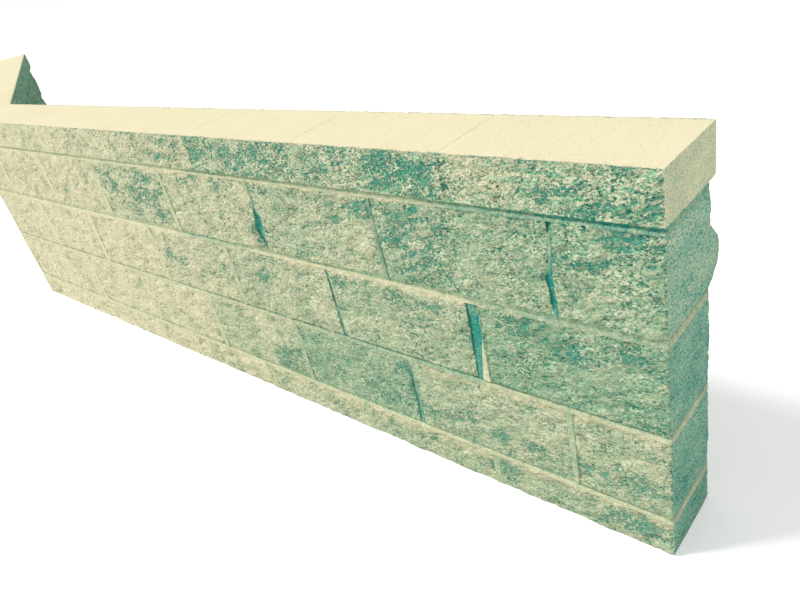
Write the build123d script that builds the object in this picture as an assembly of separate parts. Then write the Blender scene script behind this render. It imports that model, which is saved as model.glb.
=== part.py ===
from build123d import *
import math
import os
import random

# Block retaining wall of standard split-face concrete masonry units, in millimetres.
# The wall has a front run with a free end and a return run that bends back behind it.

# Masonry units, actual sizes between their joints
UNIT_LENGTH = 396.9
UNIT_HEIGHT = 193.7
UNIT_DEPTH = 193.7
CAP_HEIGHT = 92.1
STARTER_HEIGHT = 92.1
JOINT = 9.5

# Runs, counted in whole units
FRONT_UNITS = 7
RETURN_UNITS = 6
BEND_ANGLE = 24.0

# Split faces: how far the arris lies behind the nominal face, how much that varies,
# and how rough the face is between its arrises
FRONT_ARRIS_INSET = 5.0
FRONT_ARRIS_WANDER = 2.0
FRONT_ROUGHNESS = 4.0
BACK_ARRIS_INSET = 22.0
BACK_ARRIS_WANDER = 5.0
BACK_ROUGHNESS = 9.0
CAP_PROUD = 3.0
CAP_ARRIS_WANDER = 0.8
CAP_ROUGHNESS = 3.5
FACE_CELL_LENGTH = 66.0
FACE_CELL_HEIGHT = 40.0
CELL_WANDER = 0.22

# Back edge of the units at the free end, as insets from the nominal back, from the bottom up
BULGED_END = (27.0, -10.0, -21.0, -2.0, 12.0, 26.0)
SLIM_END = (27.0, 25.0, 21.0, 20.0, 21.0, 24.0)

# Tooled mortar: how far behind the deepest arris it starts and how deep the tool pressed it
MORTAR_SETBACK = 1.5
TOOLED_DEPTH = 2.0
END_SETBACK = 2.5

HALF_BEND = math.radians(BEND_ANGLE) / 2
MODULE = UNIT_LENGTH + JOINT
FRONT_MORTAR = FRONT_ARRIS_INSET + FRONT_ARRIS_WANDER + MORTAR_SETBACK
BACK_MORTAR = BACK_ARRIS_INSET + BACK_ARRIS_WANDER + MORTAR_SETBACK


class SplitFace:
    """How one broken face of a unit lies against the nominal face."""

    def __init__(self, arris, wander, roughness, end_profile=None):
        self.arris = arris
        self.wander = wander
        self.roughness = roughness
        self.end_profile = end_profile

    def arris_inset(self, chance, at_free_end, share):
        """Gives how far an arris point lies in, by the profile where the unit has one there."""
        if self.end_profile and at_free_end:
            place = share * (len(self.end_profile) - 1)
            low = min(int(place), len(self.end_profile) - 2)
            rest = place - low
            return self.end_profile[low] * (1 - rest) + self.end_profile[low + 1] * rest
        return self.arris + chance.uniform(-self.wander, self.wander)

    def face_inset(self, chance):
        """Gives how far a point between the arrises lies in."""
        return chance.uniform(-self.roughness, self.roughness)


class Run:
    """One straight stretch of wall, measured from the bend along its face and back from it."""

    def __init__(self, name, units, along_axis, depth_axis):
        self.name = name
        self.units = units
        self.along_axis = along_axis
        self.depth_axis = depth_axis
        self.length = units * MODULE - JOINT / 2

    def place(self, along, depth, height):
        """Gives the point at this place along the run, behind its face and above the base."""
        x = along * self.along_axis[0] + depth * self.depth_axis[0]
        y = along * self.along_axis[1] + depth * self.depth_axis[1]
        return (x, y, height)

    def joint_lines(self, half_first):
        """Gives the middle of each head joint, from the free end's joint line to the bend."""
        lines = [self.length + JOINT / 2]
        step = MODULE / 2 if half_first else MODULE
        while lines[-1] - step > MODULE / 4:
            lines.append(lines[-1] - step)
            step = MODULE
        lines.append(0.0)
        return lines


def cosine_sine(degrees):
    """Gives the cosine and sine of an angle in degrees."""
    return math.cos(math.radians(degrees)), math.sin(math.radians(degrees))


BEND_COSINE, BEND_SINE = cosine_sine(BEND_ANGLE)
FRONT_FACE = SplitFace(FRONT_ARRIS_INSET, FRONT_ARRIS_WANDER, FRONT_ROUGHNESS)
BACK_FACE = SplitFace(BACK_ARRIS_INSET, BACK_ARRIS_WANDER, BACK_ROUGHNESS)
CAP_FACE = SplitFace(-CAP_PROUD, CAP_ARRIS_WANDER, CAP_ROUGHNESS)
BULGED_BACK = SplitFace(BACK_ARRIS_INSET, BACK_ARRIS_WANDER, BACK_ROUGHNESS, BULGED_END)
SLIM_BACK = SplitFace(BACK_ARRIS_INSET, BACK_ARRIS_WANDER, BACK_ROUGHNESS, SLIM_END)
FRONT = Run("front", FRONT_UNITS, (1.0, 0.0), (0.0, 1.0))
RETURN = Run("return", RETURN_UNITS, (-BEND_COSINE, BEND_SINE), (BEND_SINE, BEND_COSINE))


def mitre_cut(depth):
    """Gives where a unit beside the bend ends, half a joint away from the mitre."""
    return depth * math.tan(HALF_BEND) + JOINT / 2 / math.cos(HALF_BEND)


def unit_ends(lines, index):
    """Gives two functions of depth: the unit's end nearer the bend and its far end."""
    far = lines[index] - JOINT / 2
    near = lines[index + 1] + JOINT / 2
    if index + 2 == len(lines):
        return mitre_cut, lambda depth: far
    return lambda depth: near, lambda depth: far


def split_block(run, near_end, far_end, base, height, seed, split_faces):
    """Makes one unit as points and polygons, with a split face in front and behind."""
    chance = random.Random(seed)
    reach = far_end(0.0) - near_end(0.0)
    columns = max(2, round(reach / FACE_CELL_LENGTH))
    rows = max(2, round(height / FACE_CELL_HEIGHT))
    points = []
    polygons = []
    faces = []
    for side, surface in enumerate(split_faces):
        grid = []
        for i in range(columns + 1):
            column = []
            for j in range(rows + 1):
                edge_i = i in (0, columns)
                edge_j = j in (0, rows)
                u = i / columns
                v = j / rows
                if not edge_i:
                    u += chance.uniform(-CELL_WANDER, CELL_WANDER) / columns
                if not edge_j:
                    v += chance.uniform(-CELL_WANDER, CELL_WANDER) / rows
                if edge_i or edge_j:
                    inset = surface.arris_inset(chance, i == columns, v)
                else:
                    inset = surface.face_inset(chance)
                depth = inset if side == 0 else UNIT_DEPTH - inset
                near = near_end(depth)
                far = far_end(depth)
                column.append(len(points))
                points.append(run.place(near + u * (far - near), depth, base + v * height))
            grid.append(column)
        faces.append(grid)
        for i in range(columns):
            for j in range(rows):
                a, b = grid[i][j], grid[i + 1][j]
                c, d = grid[i + 1][j + 1], grid[i][j + 1]
                if chance.random() < 0.5:
                    polygons += [(a, b, c), (a, c, d)]
                else:
                    polygons += [(a, b, d), (b, c, d)]
    front, back = faces
    for i in (0, columns):
        polygons.append(tuple(front[i]) + tuple(reversed(back[i])))
    for j in (0, rows):
        edge = [front[i][j] for i in range(columns + 1)]
        polygons.append(tuple(edge) + tuple(back[i][j] for i in range(columns, -1, -1)))
    return points, polygons


def stacked_rings(rings):
    """Joins plan outlines, given as lists of points from the lowest up, into one closed body."""
    count = len(rings[0])
    points = [point for ring in rings for point in ring]
    polygons = [tuple(range(count)), tuple(range(len(points) - count, len(points)))]
    for level in range(len(rings) - 1):
        low = level * count
        for i in range(count):
            k = (i + 1) % count
            polygons.append((low + i, low + k, low + count + k, low + count + i))
    return points, polygons


def bed_joint(base):
    """Makes the mortar bed under one course, tooled along both faces, round the bend."""
    rings = []
    for share, pressed in ((0.0, 0.0), (0.3, TOOLED_DEPTH), (0.7, TOOLED_DEPTH), (1.0, 0.0)):
        height = base + share * JOINT
        front = FRONT_MORTAR + pressed
        back = UNIT_DEPTH - BACK_MORTAR - pressed
        front_end = FRONT.length - END_SETBACK - pressed
        return_end = RETURN.length - END_SETBACK - pressed
        rings.append([
            FRONT.place(front_end, front, height),
            FRONT.place(front * math.tan(HALF_BEND), front, height),
            RETURN.place(return_end, front, height),
            RETURN.place(return_end, back, height),
            FRONT.place(back * math.tan(HALF_BEND), back, height),
            FRONT.place(front_end, back, height),
        ])
    return stacked_rings(rings)


def head_joint(run, middle, base, height):
    """Makes one upright mortar joint between two units of a run."""
    front = FRONT_MORTAR
    back = UNIT_DEPTH - BACK_MORTAR
    edge = JOINT / 2
    tool = JOINT / 6
    outline = [
        (middle - edge, front),
        (middle - tool, front + TOOLED_DEPTH),
        (middle + tool, front + TOOLED_DEPTH),
        (middle + edge, front),
        (middle + edge, back),
        (middle + tool, back - TOOLED_DEPTH),
        (middle - tool, back - TOOLED_DEPTH),
        (middle - edge, back),
    ]
    return stacked_rings([[run.place(s, d, level) for s, d in outline] for level in (base, base + height)])


def bend_joint(base, height):
    """Makes the upright mortar joint between the two runs, on the mitre."""
    front = FRONT_MORTAR
    back = UNIT_DEPTH - BACK_MORTAR
    rings = []
    for level in (base, base + height):
        pressed_front = front + TOOLED_DEPTH
        pressed_back = back - TOOLED_DEPTH
        rings.append([
            FRONT.place(mitre_cut(front), front, level),
            FRONT.place(pressed_front * math.tan(HALF_BEND), pressed_front, level),
            RETURN.place(mitre_cut(front), front, level),
            RETURN.place(mitre_cut(back), back, level),
            FRONT.place(pressed_back * math.tan(HALF_BEND), pressed_back, level),
            FRONT.place(mitre_cut(back), back, level),
        ])
    return stacked_rings(rings)


# Courses from the ground up: name, height, whether the front run's free end starts with a half unit
COURSES = [
    ("starter", STARTER_HEIGHT, False),
    ("lower", UNIT_HEIGHT, True),
    ("middle", UNIT_HEIGHT, False),
    ("top", UNIT_HEIGHT, True),
    ("cap", CAP_HEIGHT, False),
]


def faces_of(run, course, index):
    """Gives a unit's front and back surfaces: those at the free end follow their own outline."""
    if course == "cap":
        return CAP_FACE, CAP_FACE
    if run is FRONT and index == 0:
        return FRONT_FACE, {"top": BULGED_BACK, "middle": SLIM_BACK}.get(course, BACK_FACE)
    return FRONT_FACE, BACK_FACE


def wall_nodes():
    """Gives each node's name with its bodies, as points and polygons."""
    nodes = {}
    base = 0.0
    for level, (course, height, half_first) in enumerate(COURSES):
        if level:
            nodes[f"bed_joint_{course}"] = [bed_joint(base)]
            base += JOINT
        joint_height = height - TOOLED_DEPTH if course == "cap" else height
        heads = [bend_joint(base, joint_height)]
        for run in (FRONT, RETURN):
            # Each course turns the bend with a half unit on one side and a whole one on the other,
            # but the cap and the starter keep whole units on both.
            halved = half_first if run is FRONT or course == "cap" else not half_first
            lines = run.joint_lines(halved)
            for index in range(len(lines) - 1):
                near_end, far_end = unit_ends(lines, index)
                seed = f"{run.name} {course} {index}"
                surfaces = faces_of(run, course, index)
                body = split_block(run, near_end, far_end, base, height, seed, surfaces)
                if run is RETURN:
                    nodes.setdefault(f"return_{course}_course", []).append(body)
                elif course == "starter":
                    nodes.setdefault("starter_course", []).append(body)
                else:
                    nodes[f"{course}_block_{index + 1}"] = [body]
            for middle in lines[1:-1]:
                heads.append(head_joint(run, middle, base, joint_height))
        nodes[f"head_joints_{course}"] = heads
        base += height
    return nodes


def closed_solid(points, polygons, shift):
    """Sews planar polygons into one closed solid, moved by the shift."""
    moved = [Vector(*(p + s for p, s in zip(point, shift))) for point in points]
    faces = [Face(Wire.make_polygon([moved[i] for i in polygon], close=True)) for polygon in polygons]
    return Solid(Shell(faces))


def base_centre_shift(nodes):
    """Gives the move that puts the middle of the wall's base box at the origin."""
    every = [point for bodies in nodes.values() for points, _ in bodies for point in points]
    low = [min(point[axis] for point in every) for axis in range(3)]
    high = [max(point[axis] for point in every) for axis in range(3)]
    print("size", [round(high[axis] - low[axis], 3) for axis in range(3)])
    return (-(low[0] + high[0]) / 2, -(low[1] + high[1]) / 2, -low[2])


def main():
    os.makedirs("parts", exist_ok=True)
    nodes = wall_nodes()
    shift = base_centre_shift(nodes)
    print("bend corner of the front face at", [round(value, 3) for value in shift])
    for name, bodies in nodes.items():
        solids = [closed_solid(points, polygons, shift) for points, polygons in bodies]
        piece = solids[0] if len(solids) == 1 else Compound(solids)
        piece.label = name
        export_step(piece, f"parts/{name}.step")
    print(len(nodes), "nodes")


main()
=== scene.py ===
"""Looks of a split-face block retaining wall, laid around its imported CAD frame."""

import logging
import math
from dataclasses import asdict, dataclass
from enum import Enum
from typing import Any, Optional, Union

import bpy
import numpy as np
from mathutils import Matrix, Vector

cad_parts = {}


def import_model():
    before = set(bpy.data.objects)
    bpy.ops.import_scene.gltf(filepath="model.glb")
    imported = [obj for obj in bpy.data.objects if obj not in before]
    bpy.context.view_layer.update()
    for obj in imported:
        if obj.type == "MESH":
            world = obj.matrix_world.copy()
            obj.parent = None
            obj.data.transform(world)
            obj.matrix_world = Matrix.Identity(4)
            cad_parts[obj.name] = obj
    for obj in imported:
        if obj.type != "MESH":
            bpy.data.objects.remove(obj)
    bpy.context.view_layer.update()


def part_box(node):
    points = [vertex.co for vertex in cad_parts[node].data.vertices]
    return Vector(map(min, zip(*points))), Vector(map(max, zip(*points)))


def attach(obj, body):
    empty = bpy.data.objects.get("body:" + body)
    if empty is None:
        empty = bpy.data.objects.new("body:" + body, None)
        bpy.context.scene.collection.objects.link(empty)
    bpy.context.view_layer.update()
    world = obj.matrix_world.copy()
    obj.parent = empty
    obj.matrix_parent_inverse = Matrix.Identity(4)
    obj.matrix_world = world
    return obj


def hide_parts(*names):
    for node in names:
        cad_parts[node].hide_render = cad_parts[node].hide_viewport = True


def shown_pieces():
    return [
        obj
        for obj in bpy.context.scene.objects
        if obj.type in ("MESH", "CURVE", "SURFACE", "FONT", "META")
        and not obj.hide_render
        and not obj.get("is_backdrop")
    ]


LOG = logging.getLogger("retaining_wall")
WHITE = (1.0, 1.0, 1.0, 1.0)
# A rise as short as this answers yes or no
SHARP = (0.70, 0.71)
# Cosine and sine of the 17 degrees by which the broken faces' pattern and relief lean
PATTERN_LEAN = (math.cos(math.radians(17.0)), math.sin(math.radians(17.0)))
RELIEF_LEAN = (0.956, 0.292)


class Course(Enum):
    """Courses of the wall, named from the ground up."""

    STARTER = "starter"
    LOWER = "lower"
    MIDDLE = "middle"
    TOP = "top"
    CAP = "cap"


class Side(Enum):
    """The two straight runs of the wall."""

    FRONT = "front"
    RETURN = "return"


class Signal:
    """A socket that can be written into expressions, each operator adding a Math node."""

    def __init__(self, board: "Board", socket: Any) -> None:
        """Keeps the socket and the board that its nodes are drawn on."""
        self.board = board
        self.socket = socket

    def _math(self, operation: str, *values: Any) -> "Signal":
        """Adds a Math node for an operation on these values and gives its result."""
        node = self.board.node("ShaderNodeMath", {"operation": operation}, dict(enumerate(values)))
        return self.board.signal(node)

    def __add__(self, other: Any) -> "Signal":
        """Adds two values."""
        return self._math("ADD", self, other)

    def __radd__(self, other: Any) -> "Signal":
        """Adds two values, the number first."""
        return self._math("ADD", other, self)

    def __sub__(self, other: Any) -> "Signal":
        """Subtracts a value."""
        return self._math("SUBTRACT", self, other)

    def __rsub__(self, other: Any) -> "Signal":
        """Subtracts from a number."""
        return self._math("SUBTRACT", other, self)

    def __mul__(self, other: Any) -> "Signal":
        """Multiplies two values."""
        return self._math("MULTIPLY", self, other)

    def __rmul__(self, other: Any) -> "Signal":
        """Multiplies two values, the number first."""
        return self._math("MULTIPLY", other, self)

    def __truediv__(self, other: Any) -> "Signal":
        """Divides by a value."""
        return self._math("DIVIDE", self, other)

    def __rtruediv__(self, other: Any) -> "Signal":
        """Divides a number by this value."""
        return self._math("DIVIDE", other, self)

    def __neg__(self) -> "Signal":
        """Changes the sign."""
        return self * -1.0

    def __abs__(self) -> "Signal":
        """Drops the sign."""
        return self._math("ABSOLUTE", self)

    def least(self, other: Any) -> "Signal":
        """Gives the smaller of two values."""
        return self._math("MINIMUM", self, other)

    def most(self, other: Any) -> "Signal":
        """Gives the larger of two values."""
        return self._math("MAXIMUM", self, other)

    def over(self, limit: float) -> "Signal":
        """Gives how far the value lies over a limit, and 0 below it."""
        return (self - limit).most(0.0)

    def whole(self) -> "Signal":
        """Drops the part after the point."""
        return self._math("FLOOR", self)

    def sign(self) -> "Signal":
        """Gives -1, 0 or 1."""
        return self._math("SIGN", self)

    def decay(self) -> "Signal":
        """Gives e to the power of minus this value."""
        return self._math("EXPONENT", -self)

    def fade(self, reach: float) -> "Signal":
        """Gives 1 where the value is 0, falling to 0 at a reach."""
        return (1.0 - self / reach).most(0.0)

    def rise(self, low: float, high: float) -> "Signal":
        """Gives a smooth step from 0 at low to 1 at high."""
        limits = {"Value": self, "From Min": low, "From Max": high, "To Min": 0.0, "To Max": 1.0}
        node = self.board.node("ShaderNodeMapRange", {"interpolation_type": "SMOOTHSTEP"}, limits)
        return self.board.signal(node, "Result")


class Board:
    """A node tree with one way to add any node, set it and link its sockets."""

    def __init__(self, tree: Any) -> None:
        """Keeps the tree that the nodes go into."""
        self.tree = tree

    def node(self, kind: str, settings: Optional[dict] = None, values: Optional[dict] = None) -> Any:
        """Adds a node.

        Args:
            kind: Blender's name of the node type.
            settings: properties of the node, set before its sockets.
            values: numbers, colours or signals for its sockets, by name or number.

        Returns:
            The new node.
        """
        made = self.tree.nodes.new(kind)
        for name, value in (settings or {}).items():
            if name == "stops":
                self._set_stops(made.color_ramp, value)
            else:
                setattr(made, name, value)
        for name, value in (values or {}).items():
            if isinstance(value, (Signal, bpy.types.NodeSocket)):
                self.feed(made, name, value)
            else:
                made.inputs[name].default_value = value
        return made

    def feed(self, node: Any, name: Union[str, int], value: Any) -> None:
        """Links a signal or a bare socket to a node's input."""
        self.tree.links.new(value.socket if isinstance(value, Signal) else value, node.inputs[name])

    def _set_stops(self, ramp: Any, stops: list) -> None:
        """Sets a colour ramp.

        Args:
            ramp: the ramp.
            stops: each stop's place and its red, green and blue.
        """
        ramp.elements.remove(ramp.elements[-1])
        for number, (place, *colour) in enumerate(stops):
            element = ramp.elements.new(place) if number else ramp.elements[0]
            element.position = place
            element.color = (*colour, 1.0)

    def signal(self, node: Any, output: Union[str, int] = 0) -> Signal:
        """Wraps one output of a node."""
        return Signal(self, node.outputs[output])

    def split(self, vector: Any) -> tuple[Signal, ...]:
        """Gives the three parts of a vector."""
        node = self.node("ShaderNodeSeparateXYZ", {}, {0: vector})
        return tuple(self.signal(node, number) for number in range(3))

    def join(self, x: Any, y: Any, z: Any) -> Signal:
        """Makes a vector of three parts."""
        return self.signal(self.node("ShaderNodeCombineXYZ", {}, {0: x, 1: y, 2: z}))

    def cells(self, place: Signal, scale: float) -> Any:
        """Adds a Voronoi node for grains of this many to the metre."""
        settings = {"voronoi_dimensions": "3D", "feature": "F1"}
        return self.node("ShaderNodeTexVoronoi", settings, {"Vector": place, "Scale": scale})

    def blend(self, share: Any, first: Any, second: Any) -> Signal:
        """Mixes two colours by a share."""
        node = self.node("ShaderNodeMix", {"data_type": "RGBA"}, {0: share, 6: first, 7: second})
        return self.signal(node, 2)

    def ramp(self, value: Any, stops: list) -> Signal:
        """Turns a value into a colour between stops."""
        return self.signal(self.node("ShaderNodeValToRGB", {"stops": stops}, {0: value}))

    def attributes(self, *names: str) -> list[Signal]:
        """Reads values stored on the piece's own mesh."""
        nodes = [self.node("ShaderNodeAttribute", {"attribute_name": name}) for name in names]
        return [self.signal(node, "Fac") for node in nodes]

    def seen(self) -> Signal:
        """Gives 1 for what the camera sees, straight, mirrored or through a piece, and 0 for light."""
        path = self.node("ShaderNodeLightPath")
        straight, mirrored, through = (
            self.signal(path, f"Is {kind} Ray") for kind in ("Camera", "Glossy", "Transmission")
        )
        return straight.most(mirrored).most(through)


def leaned(parts: tuple, lean: tuple[float, float]) -> tuple:
    """Turns a place about the wall's depth by an angle given as its cosine and sine."""
    x, y, z = parts
    return x * lean[0] + z * lean[1], y, z * lean[0] - x * lean[1]


def stretched(parts: tuple, factors: tuple[float, ...]) -> list:
    """Scales the parts of a place; a factor of 0 leaves a plain 0 and one of 1 adds no node."""
    pairs = zip(parts, factors)
    return [part if factor == 1.0 else part * factor if factor else 0.0 for part, factor in pairs]


@dataclass(frozen=True)
class Grain:
    """Layered noise: waves to the metre, finer layers, their strength, its pattern and its stretch."""

    scale: float
    layers: float
    rough: float
    pattern: float = 0.0
    stretch: tuple[float, float, float] = (1.0, 1.0, 1.0)

    def level(self, board: Board, parts: tuple, seed: Any = 0.0) -> Signal:
        """Reads the noise.

        Args:
            board: board that its nodes go on.
            parts: the three parts of the place.
            seed: number that is added to the pattern's own.

        Returns:
            A value that stays mostly between 0.25 and 0.75.
        """
        values = {
            "Vector": board.join(*stretched(parts, self.stretch)),
            "W": seed + self.pattern,
            "Scale": self.scale,
            "Detail": self.layers,
            "Roughness": self.rough,
        }
        return board.signal(board.node("ShaderNodeTexNoise", {"noise_dimensions": "4D"}, values))

    def sway(self, board: Board, parts: tuple, seed: Any = 0.0) -> Signal:
        """Reads the noise as a value around 0."""
        return self.level(board, parts, seed) - 0.5


@dataclass(frozen=True)
class Tint:
    """Stones of another colour: where they lie, between which levels they show and how strongly."""

    grain: Grain
    low: float
    high: float
    strength: float

    def share(self, board: Board, parts: tuple) -> Signal:
        """Gives how strongly the colour shows at a place."""
        return self.grain.level(board, parts).rise(self.low, self.high) * self.strength


# Linear colours of the masonry from its darkest hollow to its brightest grain: place, red, green, blue
DAMP_TONES = [
    (0.00, 0.002, 0.130, 0.095), (0.16, 0.035, 0.220, 0.140), (0.32, 0.118, 0.330, 0.203),
    (0.48, 0.247, 0.445, 0.277), (0.64, 0.400, 0.548, 0.345), (0.80, 0.560, 0.675, 0.435),
    (1.00, 0.800, 0.830, 0.560),
]
DUSTY_TONES = [
    (0.00, 0.020, 0.135, 0.090), (0.16, 0.070, 0.215, 0.130), (0.32, 0.190, 0.320, 0.195),
    (0.48, 0.370, 0.440, 0.265), (0.64, 0.520, 0.555, 0.345), (0.80, 0.670, 0.655, 0.410),
    (1.00, 0.890, 0.830, 0.560),
]
# Plain ends: a greener ramp whose teal paints the shade that the free end lies in
SHADED_TONES = [
    (0.00, 0.002, 0.160, 0.133), (0.20, 0.076, 0.290, 0.223), (0.40, 0.191, 0.450, 0.326),
    (0.60, 0.316, 0.560, 0.388), (0.80, 0.500, 0.620, 0.400), (1.00, 0.740, 0.740, 0.480),
]
CAP_TOP_TONES = [
    (0.00, 0.260, 0.330, 0.210), (0.30, 0.560, 0.535, 0.345), (0.60, 0.745, 0.680, 0.450),
    (1.00, 0.840, 0.780, 0.545),
]
# Damp flecks, and the mortar and block ends deep in a joint, carry painted shade and are teal even where they
# are darkest
FLECK_TONES = [
    (0.00, 0.004, 0.160, 0.120), (0.40, 0.034, 0.290, 0.208), (0.70, 0.122, 0.402, 0.272),
    (1.00, 0.300, 0.525, 0.335),
]
JOINT_TONES = [
    (0.00, 0.006, 0.280, 0.220), (0.15, 0.075, 0.340, 0.265), (0.30, 0.175, 0.400, 0.290),
    (0.45, 0.280, 0.460, 0.310), (0.64, 0.400, 0.525, 0.335), (0.80, 0.560, 0.655, 0.425),
    (1.00, 0.800, 0.830, 0.560),
]
ROSY_GRAIN = (0.640, 0.520, 0.370, 1.0)
GOLDEN_GRAIN = (0.700, 0.700, 0.400, 1.0)
MOSSY_GRAIN = (0.130, 0.540, 0.285, 1.0)
# Darkest fleck colour, painted into small pits as their shade
PIT_SHADE = (*FLECK_TONES[0][1:], 1.0)


@dataclass(frozen=True)
class MasonryFinish:
    """What the finishes of the wall have in common: a toned, grainy, dull surface of some depth."""

    name: str
    depth: float = 0.0030
    roughness: float = 0.92
    specular: float = 0.2

    def start(self) -> tuple[Any, Board, Any, tuple]:
        """Makes the material.

        Returns:
            The material, its board, its shader node and the three parts of a place on the object.
        """
        material = bpy.data.materials.new(self.name)
        material.use_nodes = True
        board = Board(material.node_tree)
        shader = material.node_tree.nodes["Principled BSDF"]
        shader.inputs["Roughness"].default_value = self.roughness
        shader.inputs["Specular IOR Level"].default_value = self.specular
        return material, board, shader, board.split(board.node("ShaderNodeTexCoord").outputs["Object"])

    def finish(self, board: Board, shader: Any, colour: Signal, height: Signal) -> None:
        """Sets the colour and raises the surface.

        Args:
            board: the material's board.
            shader: its shader node.
            colour: the colour over the surface.
            height: the height over the surface, in shares of the finish's depth.
        """
        bump = board.node("ShaderNodeBump", {}, {"Strength": 1.0, "Distance": self.depth, "Height": height})
        board.feed(shader, "Normal", bump.outputs["Normal"])
        board.feed(shader, "Base Color", colour)

    def aged(self, board: Board, worth: Signal, share: Signal, tones: list) -> Signal:
        """Turns a value into a colour between some tones and the dusty ones."""
        return board.blend(share, board.ramp(worth, tones), board.ramp(worth, DUSTY_TONES))


@dataclass(frozen=True)
class SplitFaceFinish(MasonryFinish):
    """Broken face of a unit: grains, teal flecks of damp and painted shade in its hollows, stains and dust.
    """

    depth: float = 0.0075
    pebbles: float = 250.0
    pebble_stretch: tuple[float, float, float] = (0.88, 1.0, 1.30)
    patches: Grain = Grain(19.0, 3.0, 0.55, 1.0, (0.70, 1.0, 1.40))
    flakes: Grain = Grain(66.0, 3.0, 0.62, 3.0, (0.64, 1.0, 1.45))
    chippings: Grain = Grain(180.0, 3.0, 0.66, 5.0, (0.82, 1.0, 1.20))
    speckle: Grain = Grain(430.0, 2.0, 0.62, 7.0, (0.95, 1.0, 1.06))
    roughening: Grain = Grain(14.0, 2.0, 0.5, 9.0)
    clouds: Grain = Grain(8.0, 2.0, 0.5, 17.0)
    rosy: Tint = Tint(Grain(62.0, 3.0, 0.6, 12.0, (0.7, 1.0, 1.3)), 0.53, 0.64, 0.34)
    golden: Tint = Tint(Grain(95.0, 3.0, 0.6, 15.0), 0.54, 0.66, 0.30)
    mossy: Tint = Tint(Grain(74.0, 3.0, 0.6, 22.0, (0.7, 1.0, 1.3)), 0.51, 0.63, 0.30)
    bright_from: float = 0.60
    flecks_fade_from: float = 0.72
    grains_fade_from: float = 0.75
    fleck_limits: tuple[float, float] = (0.145, 0.225)
    dry_pebbles: tuple[float, float] = (0.76, 0.86)
    rosy_pebbles: tuple[float, float] = (0.86, 0.94)
    pitted_pebbles: tuple[float, float] = (0.90, 0.96)

    def build(self) -> Any:
        """Builds the material.

        Returns:
            The material.
        """
        material, board, shader, parts = self.start()
        tone, stain, relief, dust, grit = board.attributes("tone", "stain", "relief", "dust", "grit")
        slant = leaned(parts, PATTERN_LEAN)
        patch, flake, chips, specks = (
            grain.sway(board, slant) for grain in (self.patches, self.flakes, self.chippings, self.speckle)
        )
        pebbles = board.cells(board.join(*stretched(slant, self.pebble_stretch)), self.pebbles)
        pick = board.split(board.signal(pebbles, "Color"))
        rough = 0.55 + self.roughening.level(board, parts).rise(0.35, 0.65) * 0.75
        # Painted shade: the hollows of the stored relief are drawn darker and gather more teal flecks
        hollow_shade = (0.5 - relief).rise(0.0, 0.30)
        # Teal flecks where the noises that raise the bump are low: damp, and painted shade under ridges and
        # in hollows
        gather = hollow_shade * 0.05 - flake - chips * 0.80 - patch * 0.60 - specks * 0.30
        damp_and_shade = (gather + stain * 0.30 - tone.over(self.flecks_fade_from) * 0.34).rise(*self.fleck_limits)
        damp_and_shade = damp_and_shade * (1.0 - pick[0].rise(*self.dry_pebbles) * 0.62) * (0.15 + grit * 0.80).least(1.0)
        rest = (1.0 - dust * 0.45) * rough * (grit - tone.over(self.grains_fade_from) * 1.6)
        bright = tone.over(self.bright_from)
        # Tone follows the bump's noises: the grain's own colour, plus painted light on high grains and shade
        # on low ones
        worth = (
            tone
            + 0.045
            + patch * (0.62 + bright * 1.9)
            + self.clouds.sway(board, parts) * (0.25 + bright * 1.3)
            + (chips * (0.85 + grit * 0.50) + specks * 1.55 + (pick[0] - 0.5) * 0.50) * rest
            + flake * (grit * 0.80 + bright * 0.6)
            - hollow_shade * 0.08
            - stain * 0.10
            + dust * 0.10
        )
        colour = self.aged(board, worth, (tone - 0.53) * 3.0 + dust, DAMP_TONES)
        rosy = self.rosy.share(board, slant) + pick[1].rise(*self.rosy_pebbles) * 0.18
        colour = board.blend(rosy, colour, ROSY_GRAIN)
        colour = board.blend(self.golden.share(board, parts), colour, GOLDEN_GRAIN)
        colour = board.blend(self.mossy.share(board, slant) * (1.3 - tone) * grit * grit, colour, MOSSY_GRAIN)
        fleck_tone = 0.36 + chips * 2.1 + specks * 2.2 + tone * 0.45
        colour = board.blend(damp_and_shade * (0.92 - dust * 0.30), colour, board.ramp(fleck_tone, FLECK_TONES))
        # Painted shade: small pits are drawn in the darkest fleck colour
        pit_shade = pick[2].rise(*self.pitted_pebbles) * (0.42 - dust * 0.25)
        height = patch * 1.2 + flake * 2.0 + chips * 0.90 + specks * 0.28 - damp_and_shade * 0.12 - pit_shade * 0.20
        self.finish(board, shader, board.blend(pit_shade, colour, PIT_SHADE), height)
        return material


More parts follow.
